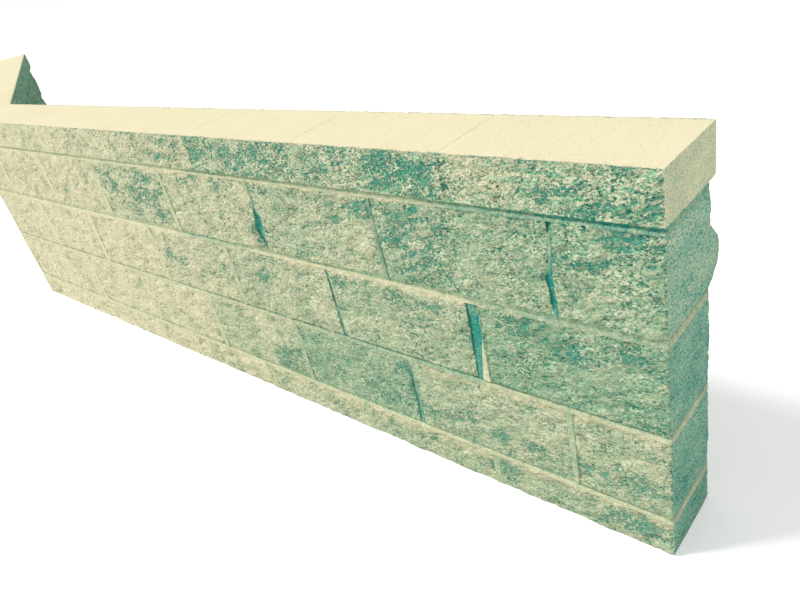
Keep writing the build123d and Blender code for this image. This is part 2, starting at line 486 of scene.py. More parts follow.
@dataclass(frozen=True)
class PlainEndFinish(MasonryFinish):
    """Plain moulded end of a unit, finer than its split face, with small pits, greener with painted shade."""

    # Painted shade: how much darker an end deep in an open joint is drawn
    shade: float = 0.0
    deep: bool = False
    stretch: tuple[float, float, float] = (1.0, 0.60, 1.0)
    clouds: Grain = Grain(24.0, 4.0, 0.58)
    sand: Grain = Grain(190.0, 3.0, 0.68, 5.0)
    speckle: Grain = Grain(460.0, 2.0, 0.6, 2.0)
    warmth: Grain = Grain(34.0, 3.0, 0.6, 8.0)
    rosy: Tint = Tint(Grain(60.0, 3.0, 0.6, 12.0), 0.53, 0.66, 0.20)
    holes: float = 46.0
    hole_rim: tuple[float, float] = (0.33, 0.42)
    hole_pick: tuple[float, float] = (0.55, 0.70)

    def build(self) -> Any:
        """Builds the material.

        Returns:
            The material.
        """
        material, board, shader, parts = self.start()
        tone, stain, dust = board.attributes("tone", "stain", "dust")
        spot = stretched(parts, self.stretch)
        grain, specks = self.sand.sway(board, spot), self.speckle.sway(board, spot)
        holes = board.cells(board.join(*parts), self.holes)
        hole = (0.5 - board.signal(holes, "Distance")).rise(*self.hole_rim)
        hole = hole * board.split(board.signal(holes, "Color"))[0].rise(*self.hole_pick)
        worth = (
            tone * (1.0 - self.shade)
            + self.clouds.sway(board, spot) * 0.72
            + (grain * 0.8 + specks * 2.5) * (1.0 - dust * 0.75) * (0.5 + tone)
            - stain * 0.26
            - hole * 0.30
        )
        if self.deep:
            colour = board.ramp(worth, JOINT_TONES)
        else:
            warm = (self.warmth.level(board, spot) - 0.53 + tone * 0.10) * 1.5 + dust
            colour = self.aged(board, worth, warm, SHADED_TONES)
            colour = board.blend(self.rosy.share(board, spot), colour, ROSY_GRAIN)
        self.finish(board, shader, colour, grain + specks * 0.4 - hole * 0.6)
        return material


@dataclass(frozen=True)
class CapTopFinish(MasonryFinish):
    """Smooth, dusty top of a cap unit, with faint drag lines across it and pitted edges."""

    depth: float = 0.0012
    clouds: Grain = Grain(8.0, 4.0, 0.55)
    drags: Grain = Grain(55.0, 3.0, 0.6, 4.0, (1.3, 0.10, 1.0))
    sand: Grain = Grain(260.0, 3.0, 0.62, 9.0)
    pitting: Tint = Tint(Grain(120.0, 3.0, 0.7, 6.0), 0.64, 0.72, 1.0)
    crumbs: Grain = Grain(85.0, 3.0, 0.6, 8.0)
    edge_limits: tuple[float, float] = (0.36, 0.72)

    def build(self) -> Any:
        """Builds the material.

        Returns:
            The material.
        """
        material, board, shader, parts = self.start()
        stain, = board.attributes("stain")
        drag, grain = self.drags.sway(board, parts), self.sand.sway(board, parts)
        pits = self.pitting.share(board, parts)
        edge = (stain + grain * 1.6 + self.crumbs.sway(board, parts) * 1.6).rise(*self.edge_limits)
        worth = 0.67 + self.clouds.sway(board, parts) * 0.26 + drag * 0.16 + grain * 1.25
        worth = worth - pits * 0.36 - edge * 0.60
        height = grain * 0.7 + drag * 0.4 - pits * 0.6 - edge * 0.5
        self.finish(board, shader, board.ramp(worth, CAP_TOP_TONES), height)
        return material


@dataclass(frozen=True)
class MortarFinish(MasonryFinish):
    """Struck mortar: sandy, dusty where it lies open, and painted dark teal as shade where it lies deep."""

    clouds: Grain = Grain(26.0, 4.0, 0.6)
    chippings: Grain = Grain(120.0, 3.0, 0.65, 3.0)
    sand: Grain = Grain(430.0, 2.0, 0.62, 5.0)

    def build(self) -> Any:
        """Builds the material.

        Returns:
            The material.
        """
        material, board, shader, parts = self.start()
        tone, dust = board.attributes("tone", "dust")
        chips, sand = self.chippings.sway(board, parts), self.sand.sway(board, parts)
        worth = tone + self.clouds.sway(board, parts) * 0.55
        worth = worth + (chips * 1.4 + sand * 1.9) * (1.0 - dust * 0.50)
        self.finish(board, shader, self.aged(board, worth, dust, JOINT_TONES), sand * 0.8 + chips)
        return material


@dataclass(frozen=True)
class FloorFinish:
    """Plain pale floor that shows white to the camera and keeps the wall's shadow."""

    name: str = "studio_floor"
    shade: float = 0.86
    roughness: float = 0.95
    lift: float = 0.30

    def build(self) -> Any:
        """Builds the material.

        Returns:
            The material.
        """
        material = bpy.data.materials.new(self.name)
        material.use_nodes = True
        board = Board(material.node_tree)
        shader = material.node_tree.nodes["Principled BSDF"]
        shader.inputs["Roughness"].default_value = self.roughness
        shader.inputs["Base Color"].default_value = (self.shade, self.shade, self.shade, 1.0)
        shader.inputs["Emission Color"].default_value = WHITE
        board.feed(shader, "Emission Strength", board.seen() * self.lift)
        return material


@dataclass(frozen=True)
class MasonrySizes:
    """Sizes that the wall is laid from, in metres."""

    unit_length: float = 0.3969
    unit_height: float = 0.1937
    unit_depth: float = 0.1937
    cap_height: float = 0.0921
    starter_height: float = 0.0921
    joint: float = 0.0095
    front_units: int = 7
    return_units: int = 6
    bend: float = math.radians(24.0)
    cap_proud: float = 0.003
    front_mortar: float = 0.0085
    back_mortar: float = 0.0285
    back_wander: float = 0.004

    @property
    def module(self) -> float:
        """Length of a unit and one joint."""
        return self.unit_length + self.joint

    @property
    def mitre(self) -> float:
        """How far the mitre at the bend moves along for each metre back."""
        return math.tan(self.bend / 2)

    def height(self, course: Course) -> float:
        """Height of a course's units."""
        special = {Course.CAP: self.cap_height, Course.STARTER: self.starter_height}
        return special.get(course, self.unit_height)

    def base(self, course: Course) -> float:
        """Height of a course's underside above the ground."""
        level = 0.0
        for lower in list(Course)[:list(Course).index(course)]:
            level += self.height(lower) + self.joint
        return level


@dataclass(frozen=True)
class WallRun:
    """One straight stretch of wall, measured along from the bend and back from its face."""

    side: Side
    sizes: MasonrySizes
    corner: tuple[float, float]

    @property
    def is_front(self) -> bool:
        """Whether this is the run that ends at the free end."""
        return self.side is Side.FRONT

    @property
    def length(self) -> float:
        """Length from the bend to the run's free end."""
        units = self.sizes.front_units if self.is_front else self.sizes.return_units
        return units * self.sizes.module - self.sizes.joint / 2

    @property
    def matrix(self) -> Matrix:
        """Turns places along, behind and above into places in the row's frame."""
        along, depth = Vector((1.0, 0.0)), Vector((0.0, 1.0))
        if not self.is_front:
            cosine, sine = math.cos(self.sizes.bend), math.sin(self.sizes.bend)
            along, depth = Vector((-cosine, sine)), Vector((sine, cosine))
        return Matrix((
            (along.x, depth.x, 0.0, self.corner[0]),
            (along.y, depth.y, 0.0, self.corner[1]),
            (0.0, 0.0, 1.0, 0.0),
            (0.0, 0.0, 0.0, 1.0),
        ))

    def joint_lines(self, course: Course) -> list[float]:
        """Gives the middles of a course's upright joints, from the free end's line to the bend.

        Args:
            course: the course. The lower and top ones start with a half unit at the free end, and
                the return run has that the other way round, but for its cap.

        Returns:
            The lines' distances from the bend.
        """
        half_first = course in (Course.LOWER, Course.TOP)
        if not self.is_front and course is not Course.CAP:
            half_first = not half_first
        lines = [self.length + self.sizes.joint / 2]
        step = self.sizes.module / 2 if half_first else self.sizes.module
        while lines[-1] - step > self.sizes.module / 4:
            lines.append(lines[-1] - step)
            step = self.sizes.module
        return lines + [0.0]


@dataclass
class Unit:
    """One unit where it is laid: its stretch of the run, and whether it is cut to the mitre."""

    run: WallRun
    course: Course
    index: int
    near: float
    far: float
    mitred: bool

    @property
    def is_cap(self) -> bool:
        """Whether the unit is one of the cap."""
        return self.course is Course.CAP

    @property
    def height(self) -> float:
        """Height of the unit."""
        return self.run.sizes.height(self.course)

    @property
    def tone(self) -> float:
        """Tone of the unit as a whole."""
        if self.run.is_front:
            return UNIT_TONES[self.course][self.index]
        return RETURN_TONE + 0.05 * math.sin(self.seed * 2.3)

    @property
    def seed(self) -> float:
        """Number that gives this unit a break of its own."""
        rank = list(Course).index(self.course)
        return 3.7 * rank + 1.31 * self.index + (0.0 if self.run.is_front else 40.0)


def lay_units(run: WallRun, course: Course) -> list[Unit]:
    """Lays a course's units in one run.

    Args:
        run: the run.
        course: the course.

    Returns:
        The units from the free end to the bend.
    """
    lines = run.joint_lines(course)
    half = run.sizes.joint / 2
    units = []
    for index in range(len(lines) - 1):
        mitred = index + 2 == len(lines)
        near = half / math.cos(run.sizes.bend / 2) if mitred else lines[index + 1] + half
        units.append(Unit(run, course, index, near, lines[index] - half, mitred))
    return units


@dataclass(frozen=True)
class UnitBreak:
    """How a kind of unit is set back, broken, chipped and worn, in metres and shares."""

    front_base: float = 0.0010
    back_base: float = 0.0100
    front_arris: float = 0.0020
    back_arris: float = 0.0130
    front_rim: float = 0.010
    back_rim: float = 0.045
    front_relief: float = 0.0130
    back_relief: float = 0.0180
    end_rim: float = 1.5
    rim_calm: float = 0.6
    chipping: float = 0.0032
    end_chipping: float = 0.0024
    end_relief: float = 0.0020
    corner_wear: float = 0.0014


BLOCK_BREAK = UnitBreak()
CAP_BREAK = UnitBreak(
    front_base=0.0016, back_base=0.0016, front_arris=0.0008, back_arris=0.0010, front_rim=0.016,
    back_rim=0.012, back_relief=0.0110, end_rim=9.0, rim_calm=0.9, chipping=0.0020,
    end_chipping=0.0002, end_relief=0.0002, corner_wear=0.0003,
)


@dataclass(frozen=True)
class StripShape:
    """How a strip of mortar is struck and divided, in metres and shares."""

    upper_inset: float
    lower_inset: float
    back_inset: float
    step: float = 0.64
    wander: float = 0.0024
    cell_length: float = 0.0060
    cell_depth: float = 0.045
    cell_height: float = 0.0024
    mitre_slope: float = 0.0


def titled(values: dict[str, Any]) -> dict[str, Any]:
    """Turns the names of sizes into the names of a tree's inputs."""
    return {name.replace("_", " ").title(): value for name, value in values.items()}


class NodesTree:
    """A Geometry Nodes tree that divides a block and moves its skin, run to make plain meshes."""

    def __init__(self, name: str, sizes: list[str], materials: list[str]) -> None:
        """Starts a tree with named inputs and a divided block.

        Args:
            name: name of the tree.
            sizes: names of its own numbers, besides those of every block.
            materials: names of its materials.
        """
        self.tree = bpy.data.node_groups.new(name, "GeometryNodeTree")
        self.board = Board(self.tree)
        self.keys: dict[str, str] = {}
        face = self.tree.interface
        face.new_socket(name="Geometry", in_out="OUTPUT", socket_type="NodeSocketGeometry")
        block = ["Length", "Depth", "Height"]
        cells = ["Cell " + size for size in block]
        kinds = dict.fromkeys([*block, *cells, "Seed", "Mitre Slope", *sizes], "Float")
        kinds.update(dict.fromkeys(materials, "Material"))
        for key, kind in kinds.items():
            socket = face.new_socket(name=key, in_out="INPUT", socket_type="NodeSocket" + kind)
            self.keys[key] = socket.identifier
        entry = self.board.node("NodeGroupInput")
        self.put = {key: self.board.signal(entry, key) for key in kinds}
        self.parts = self.board.split(self.board.node("GeometryNodeInputPosition").outputs[0])
        self.halves = [self.put[size] * 0.5 for size in block]
        self.across = (self.parts[1] + self.halves[1]) / self.put["Depth"]
        values = {"Size": self.board.join(*(self.put[size] for size in block))}
        for axis, size in zip("XYZ", block):
            values["Vertices " + axis] = (self.put[size] / self.put["Cell " + size]).whole() + 2.0
        self.skin = self.board.node("GeometryNodeMeshCube", {}, values).outputs["Mesh"]
        self._crease()

    def _add(self, kind: str, settings: dict, values: dict) -> None:
        """Sends the skin through one more node."""
        self.skin = self.board.node(kind, settings, {"Geometry": self.skin, **values}).outputs[0]

    def _crease(self) -> None:
        """Shades the block smoothly but for its twelve edges, before its skin is moved."""
        self._add("GeometryNodeSetShadeSmooth", {}, {"Shade Smooth": True})
        angle = self.board.signal(self.board.node("GeometryNodeInputMeshEdgeAngle"), "Unsigned Angle")
        edges = {"Selection": angle.rise(*SHARP), "Shade Smooth": False}
        self._add("GeometryNodeSetShadeSmooth", {"domain": "EDGE"}, edges)

    def keep(self, **values: Signal) -> None:
        """Stores values on each point under their names."""
        for name, value in values.items():
            settings = {"data_type": "FLOAT", "domain": "POINT"}
            self._add("GeometryNodeStoreNamedAttribute", settings, {"Name": name, "Value": value})

    def dress(self, material: str, where: Any = True) -> None:
        """Gives the skin a material where it is chosen."""
        self._add("GeometryNodeSetMaterial", {}, {"Selection": where, "Material": self.put[material]})

    def close(self, front: Signal, back: Signal, new_x: Signal, new_z: Signal) -> None:
        """Moves the skin, realizes it and hands it out.

        Args:
            front: how far the front is set back.
            back: how far the back is set in.
            new_x: places along, before the mitre is cut.
            new_z: places above.
        """
        put, (half_length, half_depth, _) = self.put, self.halves
        new_y = front - half_depth + self.across * (put["Depth"] - front - back)
        mitre = put["Mitre Slope"] * (new_y + half_depth) * ((half_length - self.parts[0]) / put["Length"])
        self._add("GeometryNodeSetPosition", {}, {"Position": self.board.join(new_x + mitre, new_y, new_z)})
        self._add("GeometryNodeRealizeInstances", {}, {})
        self.board.node("NodeGroupOutput", {}, {0: self.skin})

    def run(self, name: str, values: dict[str, Any]) -> Any:
        """Runs the tree once.

        Args:
            name: name of the mesh.
            values: the inputs' values by name.

        Returns:
            The finished mesh.
        """
        holder = bpy.data.objects.new(name + "_maker", bpy.data.meshes.new(name + "_maker"))
        bpy.context.scene.collection.objects.link(holder)
        modifier = holder.modifiers.new("Maker", "NODES")
        modifier.node_group = self.tree
        for key, value in values.items():
            modifier[self.keys[key]] = value
        holder.update_tag()
        graph = bpy.context.evaluated_depsgraph_get()
        mesh = bpy.data.meshes.new_from_object(
            holder.evaluated_get(graph), preserve_all_data_layers=True, depsgraph=graph
        )
        mesh.name = name
        bpy.data.objects.remove(holder)
        return mesh


class SplitUnitTree(NodesTree):
    """Makes one unit with a broken front and back, chipped arrises and plain beds."""

    broad = Grain(9.0, 2.0, 0.5, 0.0, (1.0, 0.0, 1.25))
    lumps = Grain(27.0, 4.0, 0.58, 2.0, (0.75, 0.0, 1.5))
    chips = Grain(80.0, 3.0, 0.62, 4.0, (0.8, 0.0, 1.3))
    facets = 34.0
    rim_run = Grain(30.0, 3.0, 0.65, 6.0, (1.0, 0.0, 1.0))
    end_nibbles = Tint(Grain(60.0, 4.0, 0.68, 21.0, (0.0, 1.0, 1.0)), 0.42, 0.80, 1.0)
    bed_nibbles = Tint(Grain(75.0, 4.0, 0.70, 23.0, (1.0, 1.0, 0.0)), 0.38, 0.78, 1.0)
    end_skin = Grain(30.0, 5.0, 0.62, 31.0, (0.0, 1.0, 1.2))
    face_seeds = 11.3
    face_reach = 0.016
    nibble_reach = 0.03
    end_reach = 0.02
    wear_reach = 0.010

    def __init__(self) -> None:
        """Draws the tree: a divided block whose skin is moved by layered noise."""
        faces = ("Face Material", "Plain Material", "End Material", "Near End Material")
        super().__init__("split_unit", list(titled(asdict(BLOCK_BREAK))), list(faces))
        board, put, (x, y, z) = self.board, self.put, self.parts
        half_length, half_depth, half_height = self.halves
        from_end = (half_length - abs(x)).most(0.0)
        from_bed = (half_height - abs(z)).most(0.0)
        edge = (from_end * put["End Rim"]).least((half_height - z).most(0.0))
        edge = edge.least((half_height + z).most(0.0) * 1.3)
        front, front_relief = self.broken_face("Front", put["Seed"] + 0.0, edge)
        back, back_relief = self.broken_face("Back", put["Seed"] + self.face_seeds, edge)
        relief = front_relief * (1.0 - self.across) + 0.0
        self.keep(relief=back_relief * self.across + relief, across=self.across)
        at_face = ((y + half_depth).least(half_depth - y) / self.face_reach).decay()
        wear = put["Corner Wear"] * from_end.most(from_bed).fade(self.wear_reach)
        nibbles = [
            tint.grain.level(board, self.parts, put["Seed"]).rise(tint.low, tint.high)
            for tint in (self.end_nibbles, self.bed_nibbles)
        ]
        move_x = put["End Chipping"] * nibbles[0] * at_face * from_end.fade(self.nibble_reach)
        move_z = put["Chipping"] * nibbles[1] * at_face * from_bed.fade(self.nibble_reach)
        skin = self.end_skin.level(board, self.parts, put["Seed"])
        move_x = move_x + put["End Relief"] * skin * from_end.fade(self.end_reach) + wear
        normal = board.split(board.node("GeometryNodeInputNormal").outputs[0])
        self.dress(faces[0])
        for face, facing in zip(faces[1:], (abs(normal[2]), abs(normal[0]), -normal[0])):
            self.dress(face, facing.rise(*SHARP))
        self.close(front, back, x - x.sign() * move_x, z - z.sign() * (move_z + wear))

    def broken_face(self, face: str, seed: Signal, edge: Signal) -> tuple[Signal, Signal]:
        """Breaks one face.

        Args:
            face: Front or Back.
            seed: number that picks the break.
            edge: distance from the face's nearest edge.

        Returns:
            How far the face is set in, and its relief from 0 in the hollows to 1.
        """
        board, put = self.board, self.put
        x, _, z = slant = leaned(self.parts, RELIEF_LEAN)
        facets = board.cells(board.join(x * 0.8 + seed, seed, z * 1.4), self.facets)
        facet = 0.42 - board.signal(facets, "Distance")
        run = self.rim_run.level(board, self.parts, seed)
        rim = (1.0 - edge / (put[face + " Rim"] * (0.1 + run * 1.8))).most(0.0)
        rim = rim * rim
        relief = self.broad.sway(board, self.parts, seed) * 1.0 + self.lumps.sway(board, slant, seed) * 1.30
        relief = relief + self.chips.sway(board, slant, seed) * 0.85 + facet * 0.36
        inset = put[face + " Base"] + put[face + " Arris"] * rim * (0.2 + run * 1.6)
        inset = inset - relief * put[face + " Relief"] * (1.0 - rim * put["Rim Calm"])
        return inset, 0.5 + relief * 0.45


class MortarTree(NodesTree):
    """Makes one strip of mortar, thicker than its joint so that it runs in behind the arrises."""

    slow = Grain(7.0, 3.0, 0.55, 0.0, (1.0, 0.0, 1.0))
    quick = Grain(55.0, 4.0, 0.6, 3.0, (1.0, 0.0, 1.0))
    rough = Grain(170.0, 2.0, 0.6, 5.0, (1.0, 0.0, 1.0))
    step_rise = 0.06

    def __init__(self) -> None:
        """Draws the tree: a divided strip whose two faces slope and wander."""
        sizes = ["Upper Inset", "Lower Inset", "Step", "Back Inset", "Wander"]
        super().__init__("mortar_strip", sizes, ["Mortar Material"])
        put, (x, _, z) = self.put, self.parts
        up = (z + self.halves[2]) / put["Height"]
        slow, quick, rough = (
            grain.sway(self.board, self.parts, put["Seed"]) for grain in (self.slow, self.quick, self.rough)
        )
        step = (up + slow * 0.22 + quick * 0.30 - put["Step"]).rise(-self.step_rise, self.step_rise)
        front = put["Lower Inset"] + (put["Upper Inset"] - put["Lower Inset"]) * step
        front = front + put["Wander"] * (slow * 1.2 + quick * 1.6 + rough * 0.8)
        back = put["Back Inset"] + put["Wander"] * (slow * 1.5 - quick * 1.5)
        self.keep(step=step, across=self.across)
        self.dress("Mortar Material")
        self.close(front, back, x, z)


@dataclass(frozen=True)
class Patch:
    """A dark or pale place on the front run, from the free end and the cap's top, in metres."""

    along: float
    below: float
    wide: float
    high: float
    strength: float
    lean: float = 0.0

    def cover(self, along: np.ndarray, below: np.ndarray) -> np.ndarray:
        """Gives how strongly the patch covers each place.

        Args:
            along: the places' distances from the free end.
            below: their distances below the cap's top.

        Returns:
            The patch's strength at each place.
        """
        dx, dz = along - self.along, below - self.below
        cosine, sine = math.cos(math.radians(self.lean)), math.sin(math.radians(self.lean))
        u = (dx * cosine + dz * sine) / self.wide
        v = (-dx * sine + dz * cosine) / self.high
        return self.strength * np.exp(-((u * u + v * v) ** 1.6))


def patches(*rows: tuple[int, ...]) -> list[Patch]:
    """Makes patches from whole numbers.

    Args:
        rows: along, below, width and height in millimetres, strength in hundredths, lean in degrees.

    Returns:
        The patches.
    """
    return [Patch(*(size / 1000 for size in row[:4]), row[4] / 100, *row[5:]) for row in rows]


def tenths(*values: int) -> tuple[float, ...]:
    """Gives metres for whole tenths of a millimetre."""
    return tuple(value / 10000 for value in values)


def hundredths(*values: int) -> tuple[float, ...]:
    """Gives tones for whole hundredths."""
    return tuple(value / 100 for value in values)


def along_values(profile: dict[int, int], along: np.ndarray) -> np.ndarray:
    """Reads hundredths that are given at centimetres from the free end."""
    return np.interp(along, [place / 100 for place in profile], [value / 100 for value in profile.values()])


# Dark teal patches of the blocks, then of the cap's edge: damp, and painted shade low on bulging faces and in
# the broken corners at 1040 and 1090 mm along
STAINS = patches(
    (500, 190, 85, 80, 50, 20), (465, 225, 12, 40, 80, 20), (530, 175, 60, 14, 75, 20),
    (500, 250, 70, 12, 70, 18), (440, 145, 50, 20, 55, 20), (630, 130, 60, 22, 80, 28),
    (55, 120, 60, 20, 75, 10), (130, 180, 50, 16, 55, 20), (30, 200, 20, 12, 60),
    (1040, 245, 26, 50, 60, 24), (1060, 195, 55, 14, 35, 18), (1150, 130, 25, 35, 60, 30),
    (1270, 122, 80, 14, 50, 4), (1325, 200, 22, 14, 60, 30), (725, 175, 45, 12, 45, 22),
    (500, 345, 75, 18, 70, 16), (560, 400, 45, 30, 45, 24), (135, 350, 110, 30, 60, 8),
    (290, 335, 60, 22, 50, 12), (770, 335, 40, 18, 60, 18), (1060, 370, 60, 20, 60, 22),
    (1280, 400, 60, 16, 70, 30), (1478, 408, 30, 20, 75, 20), (612, 615, 24, 80, 70),
    (640, 540, 45, 18, 75), (680, 640, 70, 60, 45), (1090, 660, 90, 40, 95, 34),
    (500, 640, 95, 30, 50, 16), (372, 655, 24, 36, 70, 20), (290, 650, 30, 30, 65, 40),
    (100, 650, 120, 34, 70, 6), (20, 560, 16, 120, 25), (1220, 730, 20, 50, 55, 20),
    (590, 735, 14, 20, 80, 20), (920, 760, 60, 20, 45), (390, 745, 60, 26, 70),
    (80, 750, 110, 30, 85), (1560, 180, 170, 90, 42, 12), (1500, 260, 90, 40, 40, 4),
    (1740, 160, 60, 60, 45, 40), (2105, 235, 18, 18, 65), (1560, 400, 70, 25, 55, 25),
    (1870, 560, 50, 18, 65, 22), (1945, 640, 25, 20, 60), (1465, 690, 60, 14, 55),
    (2590, 372, 30, 16, 35),
    (500, 45, 110, 60, 52, 4), (690, 35, 110, 40, 42, 4), (980, 45, 180, 60, 50, 4),
    (1300, 45, 130, 60, 40, 4), (110, 50, 130, 50, 30, 4), (1750, 50, 220, 40, 22, 4),
    (1180, 45, 40, 20, 90, 10), (1380, 62, 50, 14, 80, 8), (900, 55, 60, 16, 60, 20),
    (720, 50, 40, 18, 80, 24), (500, 50, 60, 16, 55, 14), (420, 70, 20, 20, 70),
    (185, 50, 60, 12, 60, 8), (70, 55, 40, 12, 60, 12), (110, 80, 50, 9, 60, 4),
    (1930, 55, 60, 20, 75, 10), (1650, 50, 25, 18, 65),
)
# Places that are paler or darker than the rest of their unit
SHADES = patches(
    (330, 45, 85, 55, 20), (190, 20, 180, 22, 6), (500, 50, 95, 60, -13), (665, 75, 60, 30, 8, 10),
    (770, 30, 50, 40, 7), (690, 230, 60, 60, 6), (340, 250, 60, 60, 4), (130, 240, 110, 50, 5, 10),
    (1560, 190, 150, 90, -7, 12), (2050, 45, 120, 60, 7), (1620, 50, 60, 60, 6),
    (2500, 50, 150, 60, 9),
)
# How strongly the grains of each course stand out
GRIT = {Course.CAP: 1.60, Course.TOP: 1.08, Course.MIDDLE: 0.88, Course.LOWER: 0.78, Course.STARTER: 0.78}
# Tone of each front unit, from the free end to the bend, of the ends at the free end and of the return; the
# block ends are painted darker as shade, darker towards the bottom
UNIT_TONES = {
    Course.CAP: (0.560, 0.628, 0.650, 0.820, 0.930, 0.990, 1.050),
    Course.TOP: (0.548, 0.590, 0.682, 0.765, 0.772, 0.915, 0.965, 0.985),
    Course.MIDDLE: (0.515, 0.645, 0.710, 0.785, 0.910, 0.960, 0.985),
    Course.LOWER: (0.655, 0.655, 0.555, 0.715, 0.840, 0.945, 0.985, 0.985),
    Course.STARTER: (0.620, 0.665, 0.720, 0.810, 0.900, 0.960, 0.980),
}
END_TONES = {
    Course.CAP: 0.80, Course.TOP: 0.54, Course.MIDDLE: 0.34, Course.LOWER: 0.30, Course.STARTER: 0.31,
}
RETURN_TONE = 0.720
# Dust on each course's upper edge, as centimetres from the free end and hundredths, then its reach
EDGE_DUST = {
    Course.CAP: ({0: 50, 300: 70}, 0.006),
    Course.TOP: ({0: 10, 40: 20, 44: 80, 120: 70, 130: 100, 300: 100}, 0.009),
    Course.MIDDLE: ({0: 35, 38: 40, 41: 100, 70: 100, 107: 90, 110: 35, 138: 40, 145: 90}, 0.012),
    Course.LOWER: ({0: 90, 37: 100, 45: 80, 62: 60, 70: 35, 100: 50, 120: 80}, 0.017),
    Course.STARTER: ({0: 85, 300: 100}, 0.024),
}
# The course whose bed lies on each course, and how far its mortar is smeared down over the arris
SMEARS = {
    Course.TOP: (Course.CAP, 0.0075),
    Course.MIDDLE: (Course.TOP, 0.0070),
    Course.LOWER: (Course.MIDDLE, 0.0060),
    Course.STARTER: (Course.LOWER, 0.0080),
}


@dataclass(frozen=True)
class BedLook:
    """How the bed under a course looks, as centimetres from the free end and hundredths.

    Its shadow line is the sunk strip under the arris, painted dark as shadow. Step and depth say where
    on its height and how far in metres that lies back; the end's tone and dust are those at the free end.
    """

    tone: dict[int, int]
    dust: dict[int, int]
    line: dict[int, int]
    step: float
    depth: float
    end_tone: float = 0.66
    end_dust: float = 0.70


BED_LOOKS = {
    Course.CAP: BedLook(
        {0: 39, 18: 40, 26: 44, 40: 45, 46: 70, 70: 68, 120: 74, 140: 82, 300: 88},
        {0: 20, 40: 30, 46: 80, 120: 85, 300: 100},
        {0: 100, 18: 95, 25: 60, 40: 45, 48: 15, 70: 12, 120: 25, 130: 5, 300: 5},
        0.32, 0.0068, 0.52, 0.30,
    ),
    Course.TOP: BedLook(
        {0: 55, 37: 58, 41: 84, 68: 78, 107: 82, 110: 66, 138: 66, 145: 92},
        {0: 40, 37: 50, 41: 95, 107: 100, 110: 50, 138: 50, 145: 100},
        {0: 10, 30: 15, 40: 5, 50: 25, 72: 35, 105: 15, 135: 40, 145: 5},
        0.50, 0.0100,
    ),
    Course.MIDDLE: BedLook(
        {0: 72, 38: 72, 42: 56, 80: 58, 110: 70, 160: 78, 300: 86},
        {0: 80, 38: 80, 42: 30, 80: 40, 110: 80, 300: 100},
        {0: 50, 20: 75, 36: 60, 40: 50, 42: 100, 60: 90, 110: 60, 180: 30},
        0.56, 0.0120,
    ),
    Course.LOWER: BedLook(
        {0: 76, 100: 78, 300: 88}, {0: 80, 300: 100}, {0: 40, 60: 35, 300: 15}, 0.60, 0.0080,
    ),
}


def held(values: Any) -> Any:
    """Keeps values between 0 and 1."""
    return np.clip(values, 0.0, 1.0)


def waver(values: np.ndarray, scale: float, seed: float) -> np.ndarray:
    """Gives a smooth wandering.

    Args:
        values: places in metres.
        scale: waves to the metre.
        seed: number that picks the wandering.

    Returns:
        Values between about -1 and 1.
    """
    waves, slowest, quicker, weaker, whole = 7, 0.55, 0.37, 0.35, 2.3
    total = np.zeros(len(values))
    for number in range(waves):
        rate = scale * (slowest + quicker * number) * 2 * math.pi
        total += np.sin(values * rate + seed * (1.7 + number) + number * number) / (1.0 + weaker * number)
    return total / whole


@dataclass
class Skin:
    """A unit's skin while it is shaped and weathered: its points and how far back each one lies."""

    unit: Unit
    points: np.ndarray
    across: np.ndarray
    face_share: float = 0.3
    end_reach: float = 0.004

    @property
    def level(self) -> np.ndarray:
        """Heights from 0 at the bottom of the unit to 1 at its top."""
        return held(self.points[:, 2] / self.unit.height)

    @property
    def from_far(self) -> np.ndarray:
        """Distances from the end that is nearer to the run's free end."""
        return self.unit.far - self.points[:, 0]

    @property
    def front(self) -> np.ndarray:
        """How fully each point belongs to the front."""
        return held(1.0 - self.across / self.face_share)

    @property
    def back(self) -> np.ndarray:
        """How fully each point belongs to the back."""
        return held((self.across - (1.0 - self.face_share)) / self.face_share)

    @property
    def at_end(self) -> np.ndarray:
        """How fully each point belongs to the plain end at the run's free end."""
        return held(1.0 - self.from_far / self.end_reach) * (self.unit.index == 0)


@dataclass(frozen=True)
class Rib:
    """A rib of mortar left standing in a wide joint, low down on its free side."""

    width: float
    top: float
    soft: float
    inset: float = 0.001
    tone: float = 0.80


